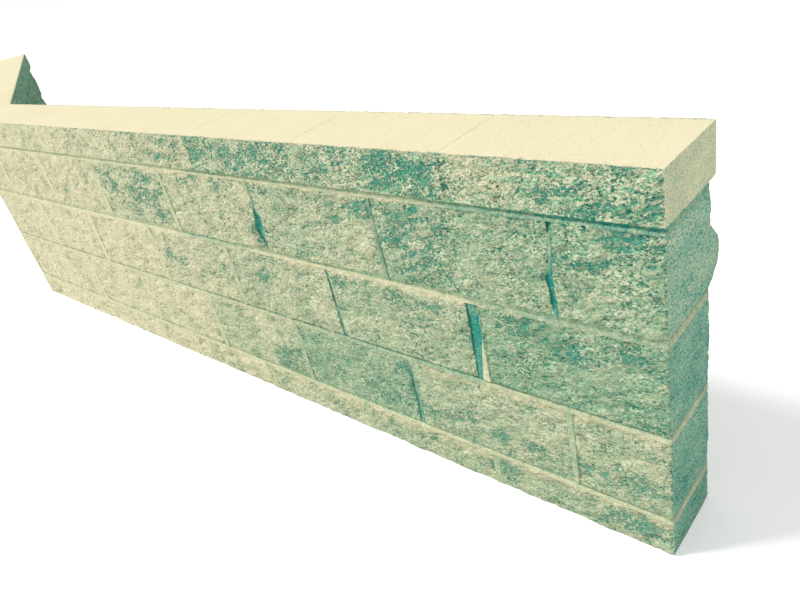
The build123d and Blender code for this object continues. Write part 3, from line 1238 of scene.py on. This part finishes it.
@dataclass(frozen=True)
class HeadShape:
    """An upright joint's own shape, each list from its top down, in metres."""

    free_side: tuple[float, ...]
    bend_side: tuple[float, ...]
    inset: tuple[float, ...]
    tone: tuple[float, ...]
    cut_depth: float = 0.012
    dust: float = 0.0
    rib: Optional[Rib] = None
    margin: float = 0.0020
    soft: float = 0.0015
    beyond_depth: float = 0.015

    def read(self, values: tuple[float, ...], level: np.ndarray) -> np.ndarray:
        """Reads a list at heights from 0 at the bottom to 1 at the top."""
        return np.interp(1.0 - level, np.linspace(0.0, 1.0, len(values)), values)

    def wear(self, skin: Skin, at_far: bool) -> None:
        """Moves the end of a unit beside the joint.

        Args:
            skin: the unit's skin.
            at_far: whether it is the end that is nearer to the free end.
        """
        points, seed = skin.points, skin.unit.seed
        behind = 1.0 / (1.0 + (np.clip(points[:, 1], 0.0, None) / (self.cut_depth * 2.2)) ** 4)
        ragged = 0.0007 * waver(points[:, 2], 60.0, seed) + 0.0005 * waver(points[:, 1], 90.0, seed)
        reach = 0.012 + 0.8 * max(*self.free_side, *self.bend_side)
        distance = skin.from_far if at_far else points[:, 0] - skin.unit.near
        move = self.read(self.bend_side if at_far else self.free_side, skin.level) + ragged
        move = move * behind * held(1.0 - distance / reach)
        points[:, 0] += -move if at_far else move

    def fill(self, points: np.ndarray, level: np.ndarray, edges: tuple[float, float],
             flush: float) -> tuple[np.ndarray, np.ndarray]:
        """Gives the mortar in the joint its tone and depth.

        Args:
            points: the mortar's points.
            level: their heights, from 0 at the bottom to 1 at the top.
            edges: the joint's two plain edges along the run.
            flush: how deep the strip lies before it is shaped.

        Returns:
            Each point's tone, and how far it is pushed in.
        """
        tone, inset = self.read(self.tone, level), self.read(self.inset, level)
        if self.rib:
            narrowing = held(1.0 - level / self.rib.top) ** 0.7
            edge = edges[1] + self.free_side[-1] + self.margin - self.rib.width * narrowing
            on_rib = held((points[:, 0] - edge) / self.rib.soft + 0.5) * (level < self.rib.top)
            inset = inset * (1.0 - on_rib) + self.rib.inset * on_rib
            tone = tone * (1.0 - on_rib) + self.rib.tone * on_rib
        left = edges[0] - self.read(self.bend_side, level) - self.margin
        right = edges[1] + self.read(self.free_side, level) + self.margin
        beyond = held(np.maximum(left - points[:, 0], points[:, 0] - right) / self.soft)
        return tone, inset - flush + self.beyond_depth * beyond


# The upright joints that show a shape of their own, by course and number from the free end; their low tones
# where they lie deep are painted shade
HEAD_SHAPES = {
    (Course.TOP, 1): HeadShape(
        tenths(28, 12, -8, -22, -42, -62, -67, -57, -42, -37, -47),
        tenths(-52, -62, -42, -27, -12, 8, 125, 47, 47, 27, -7),
        tenths(100, 40, 25, 25, 25, 40, 80, 70, 80, 60, 10),
        hundredths(6, 30, 46, 48, 44, 32, 2, 14, 8, 14, 48),
        cut_depth=0.014,
    ),
    (Course.TOP, 2): HeadShape(
        tenths(-10, -10, -10), tenths(-10, -10, -10), tenths(22, 12, 10), hundredths(36, 38, 40), dust=0.60
    ),
    (Course.TOP, 3): HeadShape(
        tenths(-30, -30, -30, -20, 0, 80, 60, 30, 0, 0, 0),
        tenths(-30, -30, -30, -20, 20, 80, 180, 240, 160, 60, 20),
        tenths(10, 10, 15, 20, 60, 100, 130, 130, 110, 110, 80),
        hundredths(58, 58, 54, 48, 30, 18, 12, 12, 18, 20, 30),
        cut_depth=0.010,
    ),
    (Course.MIDDLE, 1): HeadShape(
        tenths(210, 215, 215, 210, 210, 210, 205, 205, 205, 205, 205),
        tenths(-30, -40, -40, -30, -20, -10, 0, 0, 10, 0, 0),
        tenths(60, 60, 70, 70, 70, 70, 65, 60, 60, 55, 50),
        hundredths(26, 20, 8, 2, 4, 8, 12, 14, 16, 18, 20),
        cut_depth=0.022,
        rib=Rib(0.0205, 0.60, 0.0030),
    ),
    (Course.MIDDLE, 2): HeadShape(
        tenths(-25, -20, -20, -15, -15), tenths(-10, -15, -10, -10, -10), tenths(50, 60, 60, 50, 50),
        hundredths(34, 32, 34, 34, 32),
    ),
    (Course.LOWER, 1): HeadShape(
        tenths(18, 20, 15, 5, -10), tenths(10, 10, 10, 0, -10), tenths(20, 20, 18, 10, 5),
        hundredths(62, 60, 60, 60, 64), dust=0.45,
    ),
    (Course.LOWER, 2): HeadShape(
        tenths(-30, -30, -30, -30, -30), tenths(-10, 0, 20, 40, 60), tenths(30, 50, 60, 60, 40),
        hundredths(46, 42, 34, 32, 40),
    ),
}


@dataclass(frozen=True)
class CornerBreak:
    """A lower corner of a unit's face split off along a slope, sizes in metres."""

    wide: float
    high: float
    depth: float
    reach: float = 0.06

    def press(self, skin: Skin) -> None:
        """Presses in the face where it lies within the broken corner, beside the free end's joint."""
        points = skin.points
        share = held(1.0 - skin.from_far / self.wide - points[:, 2] / self.high)
        points[:, 1] += self.depth * share ** 0.6 * held(1.0 - points[:, 1] / self.reach)


CORNER_BREAKS = {
    (Course.LOWER, 3): CornerBreak(0.150, 0.135, 0.011),
    (Course.TOP, 3): CornerBreak(0.060, 0.100, 0.006),
}


@dataclass(frozen=True)
class EndOutline:
    """Outline of a unit's back edge at the free end, as insets in metres from the bottom up."""

    insets: tuple[float, ...]
    reach: float = 0.13

    def draw(self, skin: Skin) -> None:
        """Moves the back of the unit near its free end to the outline."""
        points, across, unit = skin.points, skin.across, skin.unit
        wanted = np.interp(skin.level, np.linspace(0.0, 1.0, len(self.insets)), self.insets)
        wanted = wanted + 0.0014 * waver(points[:, 2], 28.0, unit.seed)
        wanted = wanted + 0.0009 * waver(points[:, 2], 85.0, 3.0)
        close = held(1.0 - skin.from_far / self.reach) ** 0.8
        target = across * (unit.run.sizes.unit_depth - wanted)
        points[:, 1] += (target - points[:, 1]) * close * held(across * 2.0 - 0.6)


END_OUTLINES = {
    (Course.TOP, 0): EndOutline(tenths(340, 40, -150, -215, -215, -190, 20, 180, 180, 160, 200, 260)),
    (Course.MIDDLE, 0): EndOutline(tenths(270, 250, 210, 200, 210, 240)),
}


def mesh_points(mesh: Any) -> np.ndarray:
    """Gives a mesh's points as rows of x, y and z."""
    flat = np.empty(len(mesh.vertices) * 3)
    mesh.vertices.foreach_get("co", flat)
    return flat.reshape(-1, 3)


def set_mesh_points(mesh: Any, points: np.ndarray) -> None:
    """Moves a mesh's points."""
    mesh.vertices.foreach_set("co", points.astype(np.float32).ravel())
    mesh.update()


def take_values(mesh: Any, name: str) -> np.ndarray:
    """Reads a value that is stored for each point, and takes it off the mesh.

    Args:
        mesh: the mesh.
        name: name of the value.

    Returns:
        The value of each point.
    """
    kept = mesh.attributes[name]
    values = np.empty(len(mesh.vertices), dtype=np.float32)
    kept.data.foreach_get("value", values)
    mesh.attributes.remove(kept)
    return values.astype(float)


def store_values(mesh: Any, **values: np.ndarray) -> None:
    """Stores one value for each point under each name."""
    for name, numbers in values.items():
        kept = mesh.attributes.new(name, "FLOAT", "POINT")
        kept.data.foreach_set("value", numbers.astype(np.float32))


def linked(name: str, data: Any) -> Any:
    """Makes an object of a mesh, a light or a camera and puts it in the scene."""
    made = bpy.data.objects.new(name, data)
    bpy.context.scene.collection.objects.link(made)
    return made


def seat_piece(name: str, meshes: list, node: str, slot: str) -> None:
    """Makes one piece that stands for a CAD node and rides on the wall.

    Args:
        name: name of the piece.
        meshes: the meshes that it is joined from.
        node: name of the CAD node.
        slot: name of the slot; not used.
    """
    parts = [linked(f"{name}_{number}" if number else name, mesh) for number, mesh in enumerate(meshes)]
    piece = parts[0]
    if len(parts) > 1:
        with bpy.context.temp_override(
            active_object=piece, object=piece, selected_objects=parts, selected_editable_objects=parts
        ):
            bpy.ops.object.join()
    piece.data.name = name
    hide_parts(node)
    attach(piece, "root")
    LOG.info("%s: %d points, %d faces", name, len(piece.data.vertices), len(piece.data.polygons))


@dataclass(frozen=True)
class Weathering:
    """Tone, stains and dust of the units, with the reaches of its marks in metres."""

    sizes: MasonrySizes
    return_end: tuple[float, float] = (0.55, 0.60)
    return_dust: float = 0.8
    cap_foot_reach: float = 0.016
    # Backs are darker, and on the return's top two courses darker and more teal still: damp, and painted
    # shade
    back_tone: float = 0.42
    shaded_by: float = 0.12
    stain_level: float = 0.9
    shaded_stain: float = 1.6
    top_skin: float = 0.004
    worn_rim: tuple[float, float] = (0.72, 0.0055)
    worn_end: tuple[float, float] = (0.24, 0.0022)

    def store(self, mesh: Any, skin: Skin) -> None:
        """Stores a unit's tone, stains, dust and grit on its mesh."""
        unit, back, at_end = skin.unit, skin.back, skin.at_end
        along = unit.run.length - skin.points[:, 0]
        below = unit.height - skin.points[:, 2]
        end_tone, end_dust = self.end_look(skin)
        # Painted shade on the backs of the return's top two courses
        shaded = not unit.run.is_front and unit.course in (Course.CAP, Course.TOP)
        back_tone = self.back_tone + 0.30 * (unit.tone - 0.60) - (self.shaded_by if shaded else 0.0)
        tone = np.full(len(along), unit.tone)
        tone += (end_tone - tone) * at_end
        tone += (back_tone - tone) * back * (1.0 - at_end)
        profile, reach = EDGE_DUST[unit.course]
        dust = along_values(profile, along) if unit.run.is_front else np.full(len(along), self.return_dust)
        reach = reach * (1.0 + 0.45 * waver(along, 14.0, unit.seed))
        dust = dust * held(1.35 - below / reach) * (1.0 - back)
        if unit.course in SMEARS and unit.run.is_front:
            bed, smear_reach = SMEARS[unit.course]
            ragged = smear_reach * (1.0 + 0.35 * waver(along, 23.0, 2.0 + unit.seed))
            smear = held(1.6 - 1.2 * below / ragged) * skin.front * (1.0 - at_end)
            tone += (along_values(BED_LOOKS[bed].tone, along) - tone) * smear
            dust = np.maximum(dust, along_values(BED_LOOKS[bed].dust, along) * smear)
        dust = np.where(at_end > 0.5, end_dust, dust)
        stain = self.back_stain(skin) * (self.shaded_stain if shaded else self.stain_level)
        stain = stain * back * (1.0 - at_end)
        if unit.run.is_front:
            tone, stain = self.mark(skin, along, tone, stain)
        if unit.is_cap:
            stain = np.where(below < self.top_skin, np.maximum(stain * 0.4, self.worn_edges(skin)), stain)
        store_values(mesh, tone=tone, stain=stain, dust=dust, grit=np.full(len(along), GRIT[unit.course]))

    def end_look(self, skin: Skin) -> tuple[Any, Any]:
        """Gives the tone and dust of a unit's plain end."""
        if not skin.unit.run.is_front:
            return self.return_end
        if skin.unit.is_cap:
            damp_foot = 0.07 * np.exp(-skin.points[:, 2] / self.cap_foot_reach)
            return END_TONES[Course.CAP] + damp_foot, 0.55 - 0.15 * skin.front
        return END_TONES[skin.unit.course], 0.0

    def back_stain(self, skin: Skin) -> np.ndarray:
        """Gives the damp of a unit's back, in broad blotches."""
        points, seed = skin.points, skin.unit.seed
        blotch = 0.5 + 0.5 * waver(points[:, 0], 3.0, seed) * waver(points[:, 2], 5.0, seed + 1.0)
        return held(0.10 + 0.40 * blotch)

    def mark(self, skin: Skin, along: np.ndarray, tone: np.ndarray, stain: np.ndarray) -> tuple:
        """Adds the stains and shades of the front run.

        Args:
            skin: the unit's skin.
            along: its points' distances from the free end.
            tone: its tone.
            stain: its stains.

        Returns:
            The new tone and stains.
        """
        sizes = self.sizes
        top = sizes.base(Course.CAP) + sizes.cap_height - sizes.base(skin.unit.course)
        beneath, front, bare = top - skin.points[:, 2], skin.front, 1.0 - skin.at_end
        for patch in STAINS:
            stain = np.maximum(stain, patch.cover(along, beneath) * front * bare)
        for patch in SHADES:
            shade = patch.cover(along, beneath) * front * bare
            tone = tone + shade
            stain = stain - shade * 1.3
        return tone, stain

    def worn_edges(self, skin: Skin) -> np.ndarray:
        """Gives how worn a cap's top is along its four edges."""
        x, half = skin.points[:, 0], self.sizes.joint / 2
        rim = np.minimum(skin.across, 1.0 - skin.across) * self.sizes.unit_depth
        end = np.minimum(skin.unit.far + half - x, x - skin.unit.near + half)
        (rim_wear, rim_reach), (end_wear, end_reach) = self.worn_rim, self.worn_end
        return rim_wear * np.exp(-rim / rim_reach) + end_wear * np.exp(-np.clip(end, 0.0, None) / end_reach)


@dataclass
class UnitLayer:
    """Makes the units of the wall, each with its own break, wear and weathering."""

    sizes: MasonrySizes
    tree: SplitUnitTree
    split_finish: Any
    end_finish: Any
    cap_top_finish: Any
    joint_end_finish: Any
    near_cell: float = 0.0042
    far_cell: float = 0.0080
    return_cell: float = 0.0100
    hidden_cell: float = 0.033
    open_joints: int = 3
    cap_crack: float = 0.0001
    flush_reach: float = 0.0028
    front_proud: float = 0.0012

    def cell(self, unit: Unit) -> float:
        """Size of the faces on a unit's skin: small near the free end and larger beyond."""
        if not unit.run.is_front:
            return self.return_cell
        share = min(1.0, (unit.run.length - unit.far) / unit.run.length * 1.35)
        return self.near_cell + (self.far_cell - self.near_cell) * share

    def values(self, unit: Unit, depth: float) -> dict[str, Any]:
        """Gives the tree's inputs for a unit.

        Args:
            unit: the unit.
            depth: its depth.

        Returns:
            The inputs' values by name.
        """
        cell = self.cell(unit)
        open_end = unit.index == 0
        plain_joint = unit.is_cap or unit.index > self.open_joints
        joint_end = self.split_finish if plain_joint else self.joint_end_finish
        return titled(asdict(CAP_BREAK if unit.is_cap else BLOCK_BREAK)) | {
            "Length": unit.far - unit.near,
            "Depth": depth,
            "Height": unit.height,
            "Cell Length": cell,
            "Cell Depth": cell * 1.4 if unit.is_cap or open_end else self.hidden_cell,
            "Cell Height": cell,
            "Seed": unit.seed,
            "Mitre Slope": self.sizes.mitre if unit.mitred else 0.0,
            "Face Material": self.split_finish,
            "Plain Material": self.cap_top_finish if unit.is_cap else self.end_finish,
            "End Material": self.end_finish if open_end else joint_end,
            "Near End Material": joint_end,
        }

    def mesh(self, unit: Unit) -> Any:
        """Makes one unit's mesh in its place.

        Args:
            unit: the unit to make.

        Returns:
            The mesh in the row's frame, with its weathering stored on its points.
        """
        sizes = self.sizes
        proud = sizes.cap_proud if unit.is_cap else 0.0
        depth = sizes.unit_depth + 2 * proud
        name = f"{unit.run.side.value}_{unit.course.value}_{unit.index + 1}"
        mesh = self.tree.run(name, self.values(unit, depth))
        skin = Skin(unit, mesh_points(mesh), take_values(mesh, "across"))
        points = skin.points
        points += ((unit.near + unit.far) / 2, depth / 2 - proud, unit.height / 2)
        if unit.run.is_front:
            self.shape(skin)
        low = -proud if unit.is_cap else -self.front_proud
        high = depth - proud if unit.is_cap else sizes.unit_depth + sizes.cap_proud
        if unit.run.is_front and not unit.is_cap:
            high = None
        points[:, 1] = np.clip(points[:, 1], low, high)
        Weathering(sizes).store(mesh, skin)
        points[:, 2] += sizes.base(unit.course)
        set_mesh_points(mesh, points)
        mesh.transform(unit.run.matrix)
        return mesh

    def shape(self, skin: Skin) -> None:
        """Gives a front unit the breaks, joints and outline that are its own."""
        place = (skin.unit.course, skin.unit.index)
        if place in CORNER_BREAKS:
            CORNER_BREAKS[place].press(skin)
        free_head = HEAD_SHAPES.get(place)
        bend_head = HEAD_SHAPES.get((place[0], place[1] + 1))
        if free_head:
            free_head.wear(skin, True)
        if bend_head:
            bend_head.wear(skin, False)
        self.close_joints(skin, bool(free_head) or place[1] == 0, bool(bend_head) or skin.unit.mitred)
        if place in END_OUTLINES:
            END_OUTLINES[place].draw(skin)

    def close_joints(self, skin: Skin, free_done: bool, bend_done: bool) -> None:
        """Draws a unit's ends out over the joints that were struck flush and hardly show.

        Args:
            skin: the unit's skin.
            free_done: whether the end nearer to the free end stays as it is.
            bend_done: whether the other end does.
        """
        unit, x = skin.unit, skin.points[:, 0]
        reach = self.sizes.joint / 2 - self.cap_crack if unit.is_cap else self.flush_reach
        share = (x - (unit.near + unit.far) / 2) / ((unit.far - unit.near) / 2)
        outward = np.clip(share, 0.0, None) ** 3 * (0.0 if free_done else reach)
        x += outward - np.clip(-share, 0.0, None) ** 3 * (0.0 if bend_done else reach)


@dataclass
class Run:
    """One run of the wall, with the finish slots of its units."""

    run: WallRun
    layer: UnitLayer

    def row(self, course: Course) -> list:
        """Makes the meshes of a course."""
        return [self.layer.mesh(unit) for unit in lay_units(self.run, course)]

    def slot(self, course: Course) -> str:
        """Gives the slot of a course's units."""
        return "cap_stone" if course is Course.CAP else "split_block"


class FrontRun(Run):
    """Front run: each of its full-height units and caps is a piece of its own."""

    def build(self) -> None:
        """Lays the starter course, the three full courses and the cap."""
        seat_piece("starter_row", self.row(Course.STARTER), "starter_course", self.slot(Course.STARTER))
        for course in list(Course)[1:]:
            for number, mesh in enumerate(self.row(course), start=1):
                node = f"{course.value}_block_{number}"
                seat_piece(f"{course.value}_unit_{number}", [mesh], node, self.slot(course))


class ReturnRun(Run):
    """Return run behind the bend: each course is one piece."""

    def build(self) -> None:
        """Lays the courses of the return run."""
        for course in Course:
            name = f"return_{course.value}"
            seat_piece(f"{name}_row", self.row(course), f"{name}_course", self.slot(course))


@dataclass
class Strip:
    """A strip of mortar while it is shaped: its points, how far back each lies and its step."""

    run: WallRun
    mesh: Any
    points: np.ndarray
    across: np.ndarray
    step: np.ndarray

    @property
    def rear(self) -> np.ndarray:
        """How fully each point belongs to the rear."""
        return held(self.across * 3.0 - 2.0)

    def settle(self, tone: np.ndarray, dust: np.ndarray) -> Any:
        """Puts the strip in its place and stores its tone and dust.

        Args:
            tone: each point's tone.
            dust: each point's dust.

        Returns:
            The finished mesh.
        """
        set_mesh_points(self.mesh, self.points)
        store_values(self.mesh, tone=tone, dust=held(dust))
        self.mesh.transform(self.run.matrix)
        return self.mesh


@dataclass
class Mortar:
    """Mortar of the wall: one bed under each course and the upright joints of each course."""

    sizes: MasonrySizes
    runs: tuple[WallRun, WallRun]
    tree: MortarTree
    finish: Any
    hidden: float = 0.0045
    flush: float = 0.0015
    end_gap: float = 0.0012
    end_reach: float = 0.003
    return_place: float = 2.9
    # Painted shadow along the sunk line under an arris
    line_tone: float = 0.12
    head_inset: float = 0.0014
    cap_head_inset: float = 0.0090
    cap_head_drop: float = 0.0006
    top_level: float = 0.97
    top_tone: float = 0.90

    @property
    def back_inset(self) -> float:
        """How far the mortar lies in from the back, before it wanders."""
        return self.sizes.back_mortar - self.sizes.back_wander

    def strip(self, name: str, run: WallRun, span: tuple[float, float], rise: tuple[float, float],
              shape: StripShape) -> Strip:
        """Makes one strip of mortar.

        Args:
            name: name of the mesh.
            run: the run that the strip lies in.
            span: its ends along the run.
            rise: its underside above the ground and its height.
            shape: how it is struck and divided.

        Returns:
            The strip, measured along, behind and above from the bend's corner.
        """
        mesh = self.tree.run(name, titled(asdict(shape)) | {
            "Length": span[1] - span[0],
            "Depth": self.sizes.unit_depth,
            "Height": rise[1],
            "Seed": rise[0] * 31.0 + span[0] * 7.0,
            "Mortar Material": self.finish,
        })
        points = mesh_points(mesh)
        points += ((span[0] + span[1]) / 2, self.sizes.unit_depth / 2, rise[0] + rise[1] / 2)
        return Strip(run, mesh, points, take_values(mesh, "across"), take_values(mesh, "step"))

    def bed(self, course: Course) -> None:
        """Lays the bed under a course, along both runs."""
        look, joint, name = BED_LOOKS[course], self.sizes.joint, f"bed_{course.value}"
        rise = (self.sizes.base(course) - joint - self.hidden, joint + 2 * self.hidden)
        shape = StripShape(look.depth, self.flush, self.back_inset, look.step, mitre_slope=self.sizes.mitre)
        meshes = []
        for run in self.runs:
            span = (0.0, run.length - self.end_gap)
            strip = self.strip(f"{name}_{run.side.value}", run, span, rise, shape)
            meshes.append(self.weather_bed(strip, look))
        seat_piece(f"bed_of_{course.value}_course", meshes, f"bed_joint_{course.value}", "mortar")

    def weather_bed(self, strip: Strip, look: BedLook) -> Any:
        """Sinks the shadow line under the arris, paints the strip under the arris darker as shade, and gives
        a bed its tone and dust.

        Args:
            strip: the bed in one run.
            look: how it looks along the run.

        Returns:
            The finished mesh.
        """
        points, near = strip.points, 1.0 - strip.across
        from_end = strip.run.length - points[:, 0]
        along = from_end if strip.run.is_front else np.full(len(points), self.return_place)
        line, flush = along_values(look.line, along), along_values(look.tone, along)
        points[:, 1] -= near * (look.depth - self.flush) * strip.step * (1.0 - line)
        # Painted shade: the struck strip under the upper unit's arris is darker, darkest along the shadow
        # line
        above = (0.44 + 0.60 * np.clip(flush - 0.62, 0.0, None)) * (1.0 - line) + self.line_tone * line
        tone = flush + (above - flush) * strip.step * near
        dust = along_values(look.dust, along)
        dust += (held(1.3 - 1.4 * line) - dust) * strip.step
        at_end = held(1.0 - from_end / self.end_reach)
        tone -= 0.34 * strip.rear
        dust *= 1.0 - 0.6 * strip.rear
        tone += (look.end_tone - tone) * at_end
        dust += (look.end_dust - dust) * at_end
        return strip.settle(tone, dust)

    def heads(self, course: Course) -> None:
        """Fills the upright joints of a course, and the one on the mitre."""
        meshes = [self.head(self.runs[0], course, 0, 0.0)]
        for run in self.runs:
            for number, middle in enumerate(run.joint_lines(course)[1:-1], start=1):
                meshes.append(self.head(run, course, number, middle))
        seat_piece(f"heads_of_{course.value}_course", meshes, f"head_joints_{course.value}", "mortar")

    def head(self, run: WallRun, course: Course, number: int, middle: float) -> Any:
        """Makes one upright joint.

        Args:
            run: the run that it lies in.
            course: its course.
            number: its number from the free end, or 0 for the one on the mitre.
            middle: its place along the run.

        Returns:
            The finished mesh.
        """
        base, height, half = self.sizes.base(course), self.sizes.height(course), self.sizes.joint / 2
        is_cap = course is Course.CAP
        shape = HEAD_SHAPES.get((course, number)) if run.is_front else None
        low = high = half + self.hidden
        if shape:
            low, high = low + max(0.0, *shape.bend_side), high + max(0.0, *shape.free_side)
        flush = self.cap_head_inset if is_cap else self.head_inset
        strip = self.strip(
            f"head_{course.value}_{run.side.value}_{number}", run, (middle - low, middle + high),
            (base, height - (self.cap_head_drop if is_cap else 0.0)),
            StripShape(flush, flush, 0.0 if is_cap else self.back_inset, wander=0.0016,
                       cell_length=0.0024, cell_height=0.0050),
        )
        points = strip.points
        level = (points[:, 2] - base) / height
        tone = np.full(len(points), self.near_tone(run, course, number) - 0.05)
        dust = held((tone - 0.45) * 3.0)
        if shape:
            tone, push = shape.fill(points, level, (middle - half, middle + half), flush)
            points[:, 1] += (1.0 - strip.across) * push
            dust = np.clip((tone - 0.55) * 3.5, shape.dust, 1.0)
        tone = tone - 0.26 * strip.rear
        dust = dust * (1.0 - 0.5 * strip.rear)
        if is_cap:
            tone = np.where(level > self.top_level, self.top_tone, tone)
            dust = np.where(level > self.top_level, 1.0, dust)
        points[:, 1] = np.maximum(points[:, 1], -self.sizes.cap_proud if is_cap else 0.0)
        if number == 0:
            points[:, 0] += points[:, 1] * self.sizes.mitre
        return strip.settle(tone, dust)

    def near_tone(self, run: WallRun, course: Course, number: int) -> float:
        """Gives the mean tone of the units on both sides of a joint.

        Args:
            run: the joint's run.
            course: its course.
            number: its number from the free end, or 0 for the one on the mitre.

        Returns:
            The mean tone.
        """
        if not run.is_front:
            return RETURN_TONE
        tones = UNIT_TONES[course]
        if number == 0:
            return (tones[-1] + RETURN_TONE) / 2
        return (tones[number - 1] + tones[min(number, len(tones) - 1)]) / 2

    def build(self) -> None:
        """Lays every bed and fills every upright joint."""
        for course in Course:
            if course in BED_LOOKS:
                self.bed(course)
            self.heads(course)


@dataclass(frozen=True)
class Studio:
    """Camera, lights and floor around the wall, set from the cap's front corner at the free end."""

    corner: tuple[float, float, float]
    focal_pixels: float = 695.146
    image_width: int = 800
    sensor: float = 36.0
    clip: tuple[float, float] = (0.05, 200.0)
    offset: tuple[float, float, float] = (0.372887, -0.866376, 0.395017)
    azimuth: float = math.radians(-47.6706)
    elevation: float = math.radians(29.7655)
    roll: float = math.radians(-14.2948)
    world_light: float = 0.60
    sun_strength: float = 2.55
    sun_width: float = math.radians(12.0)
    sun_direction: tuple[float, float, float] = (-0.50, -0.38, 0.78)
    floor_reach: float = 30.0

    def camera(self) -> None:
        """Sets the camera where the fit of the joint lines puts it."""
        cos_az, sin_az = math.cos(self.azimuth), math.sin(self.azimuth)
        cos_el, sin_el = math.cos(self.elevation), math.sin(self.elevation)
        forward = Vector((cos_el * sin_az, cos_el * cos_az, -sin_el))
        level = Vector((cos_az, -sin_az, 0.0))
        upright = level.cross(forward)
        right = level * math.cos(self.roll) + upright * math.sin(self.roll)
        up = upright * math.cos(self.roll) - level * math.sin(self.roll)
        data = bpy.data.cameras.new("photo_view")
        data.sensor_fit = "HORIZONTAL"
        data.sensor_width = self.sensor
        data.lens = self.focal_pixels / self.image_width * self.sensor
        data.clip_start, data.clip_end = self.clip
        made = linked("photo_view", data)
        turn = Matrix((right, up, -forward)).transposed().to_4x4()
        made.matrix_world = Matrix.Translation(Vector(self.corner) + Vector(self.offset)) @ turn
        bpy.context.scene.camera = made

    def light(self) -> None:
        """Sets a soft sun from the left and a plain pale world."""
        data = bpy.data.lights.new("soft_sun", "SUN")
        data.energy = self.sun_strength
        data.angle = self.sun_width
        made = linked("soft_sun", data)
        made.rotation_mode = "QUATERNION"
        made.rotation_quaternion = Vector(self.sun_direction).to_track_quat("Z", "Y")
        world = bpy.data.worlds.new("plain_world")
        world.use_nodes = True
        bpy.context.scene.world = world
        board = Board(world.node_tree)
        back = world.node_tree.nodes["Background"]
        back.inputs["Color"].default_value = WHITE
        seen = board.seen()
        board.feed(back, "Strength", seen + (1.0 - seen) * self.world_light)

    def floor(self) -> None:
        """Lays the floor at the wall's foot."""
        reach = self.floor_reach
        mesh = bpy.data.meshes.new("studio_floor")
        corners = [(-reach, -reach, 0.0), (reach, -reach, 0.0), (reach, reach, 0.0), (-reach, reach, 0.0)]
        mesh.from_pydata(corners, [], [(0, 1, 2, 3)])
        mesh.materials.append(FloorFinish().build())
        linked("studio_floor", mesh)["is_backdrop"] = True

    def build(self) -> None:
        """Sets up the whole studio."""
        bpy.context.scene.view_settings.view_transform = "Standard"
        self.camera()
        self.light()
        self.floor()


def wall_corner(sizes: MasonrySizes) -> tuple[float, float]:
    """Gives the front face's corner at the bend, read from the CAD pieces.

    Args:
        sizes: the wall's sizes.

    Returns:
        Its two places on the ground.
    """
    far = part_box("cap_block_1")[1].x
    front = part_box("bed_joint_cap")[0].y - sizes.front_mortar
    return far - (sizes.front_units * sizes.module - sizes.joint / 2), front


def main() -> None:
    """Builds the wall and its studio, and logs how many faces are shown."""
    logging.basicConfig(level=logging.INFO, format="%(name)s %(message)s")
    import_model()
    sizes = MasonrySizes()
    corner = wall_corner(sizes)
    front = WallRun(Side.FRONT, sizes, corner)
    back = WallRun(Side.RETURN, sizes, corner)
    top = sizes.base(Course.CAP) + sizes.cap_height
    Studio((corner[0] + front.length, corner[1] - sizes.cap_proud, top)).build()
    layer = UnitLayer(
        sizes,
        SplitUnitTree(),
        SplitFaceFinish("split_face").build(),
        PlainEndFinish("plain_end").build(),
        CapTopFinish("cap_top").build(),
        # Unit ends inside the open joints, drawn dark teal as painted shade
        PlainEndFinish("joint_end", shade=0.80, deep=True).build(),
    )
    FrontRun(front, layer).build()
    ReturnRun(back, layer).build()
    Mortar(sizes, (front, back), MortarTree(), MortarFinish("mortar").build()).build()
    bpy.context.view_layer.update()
    faces = sum(len(piece.data.polygons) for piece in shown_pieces() if piece.type == "MESH")
    LOG.info("shown faces in all: %d", faces)


if __name__ == "__main__":
    main()
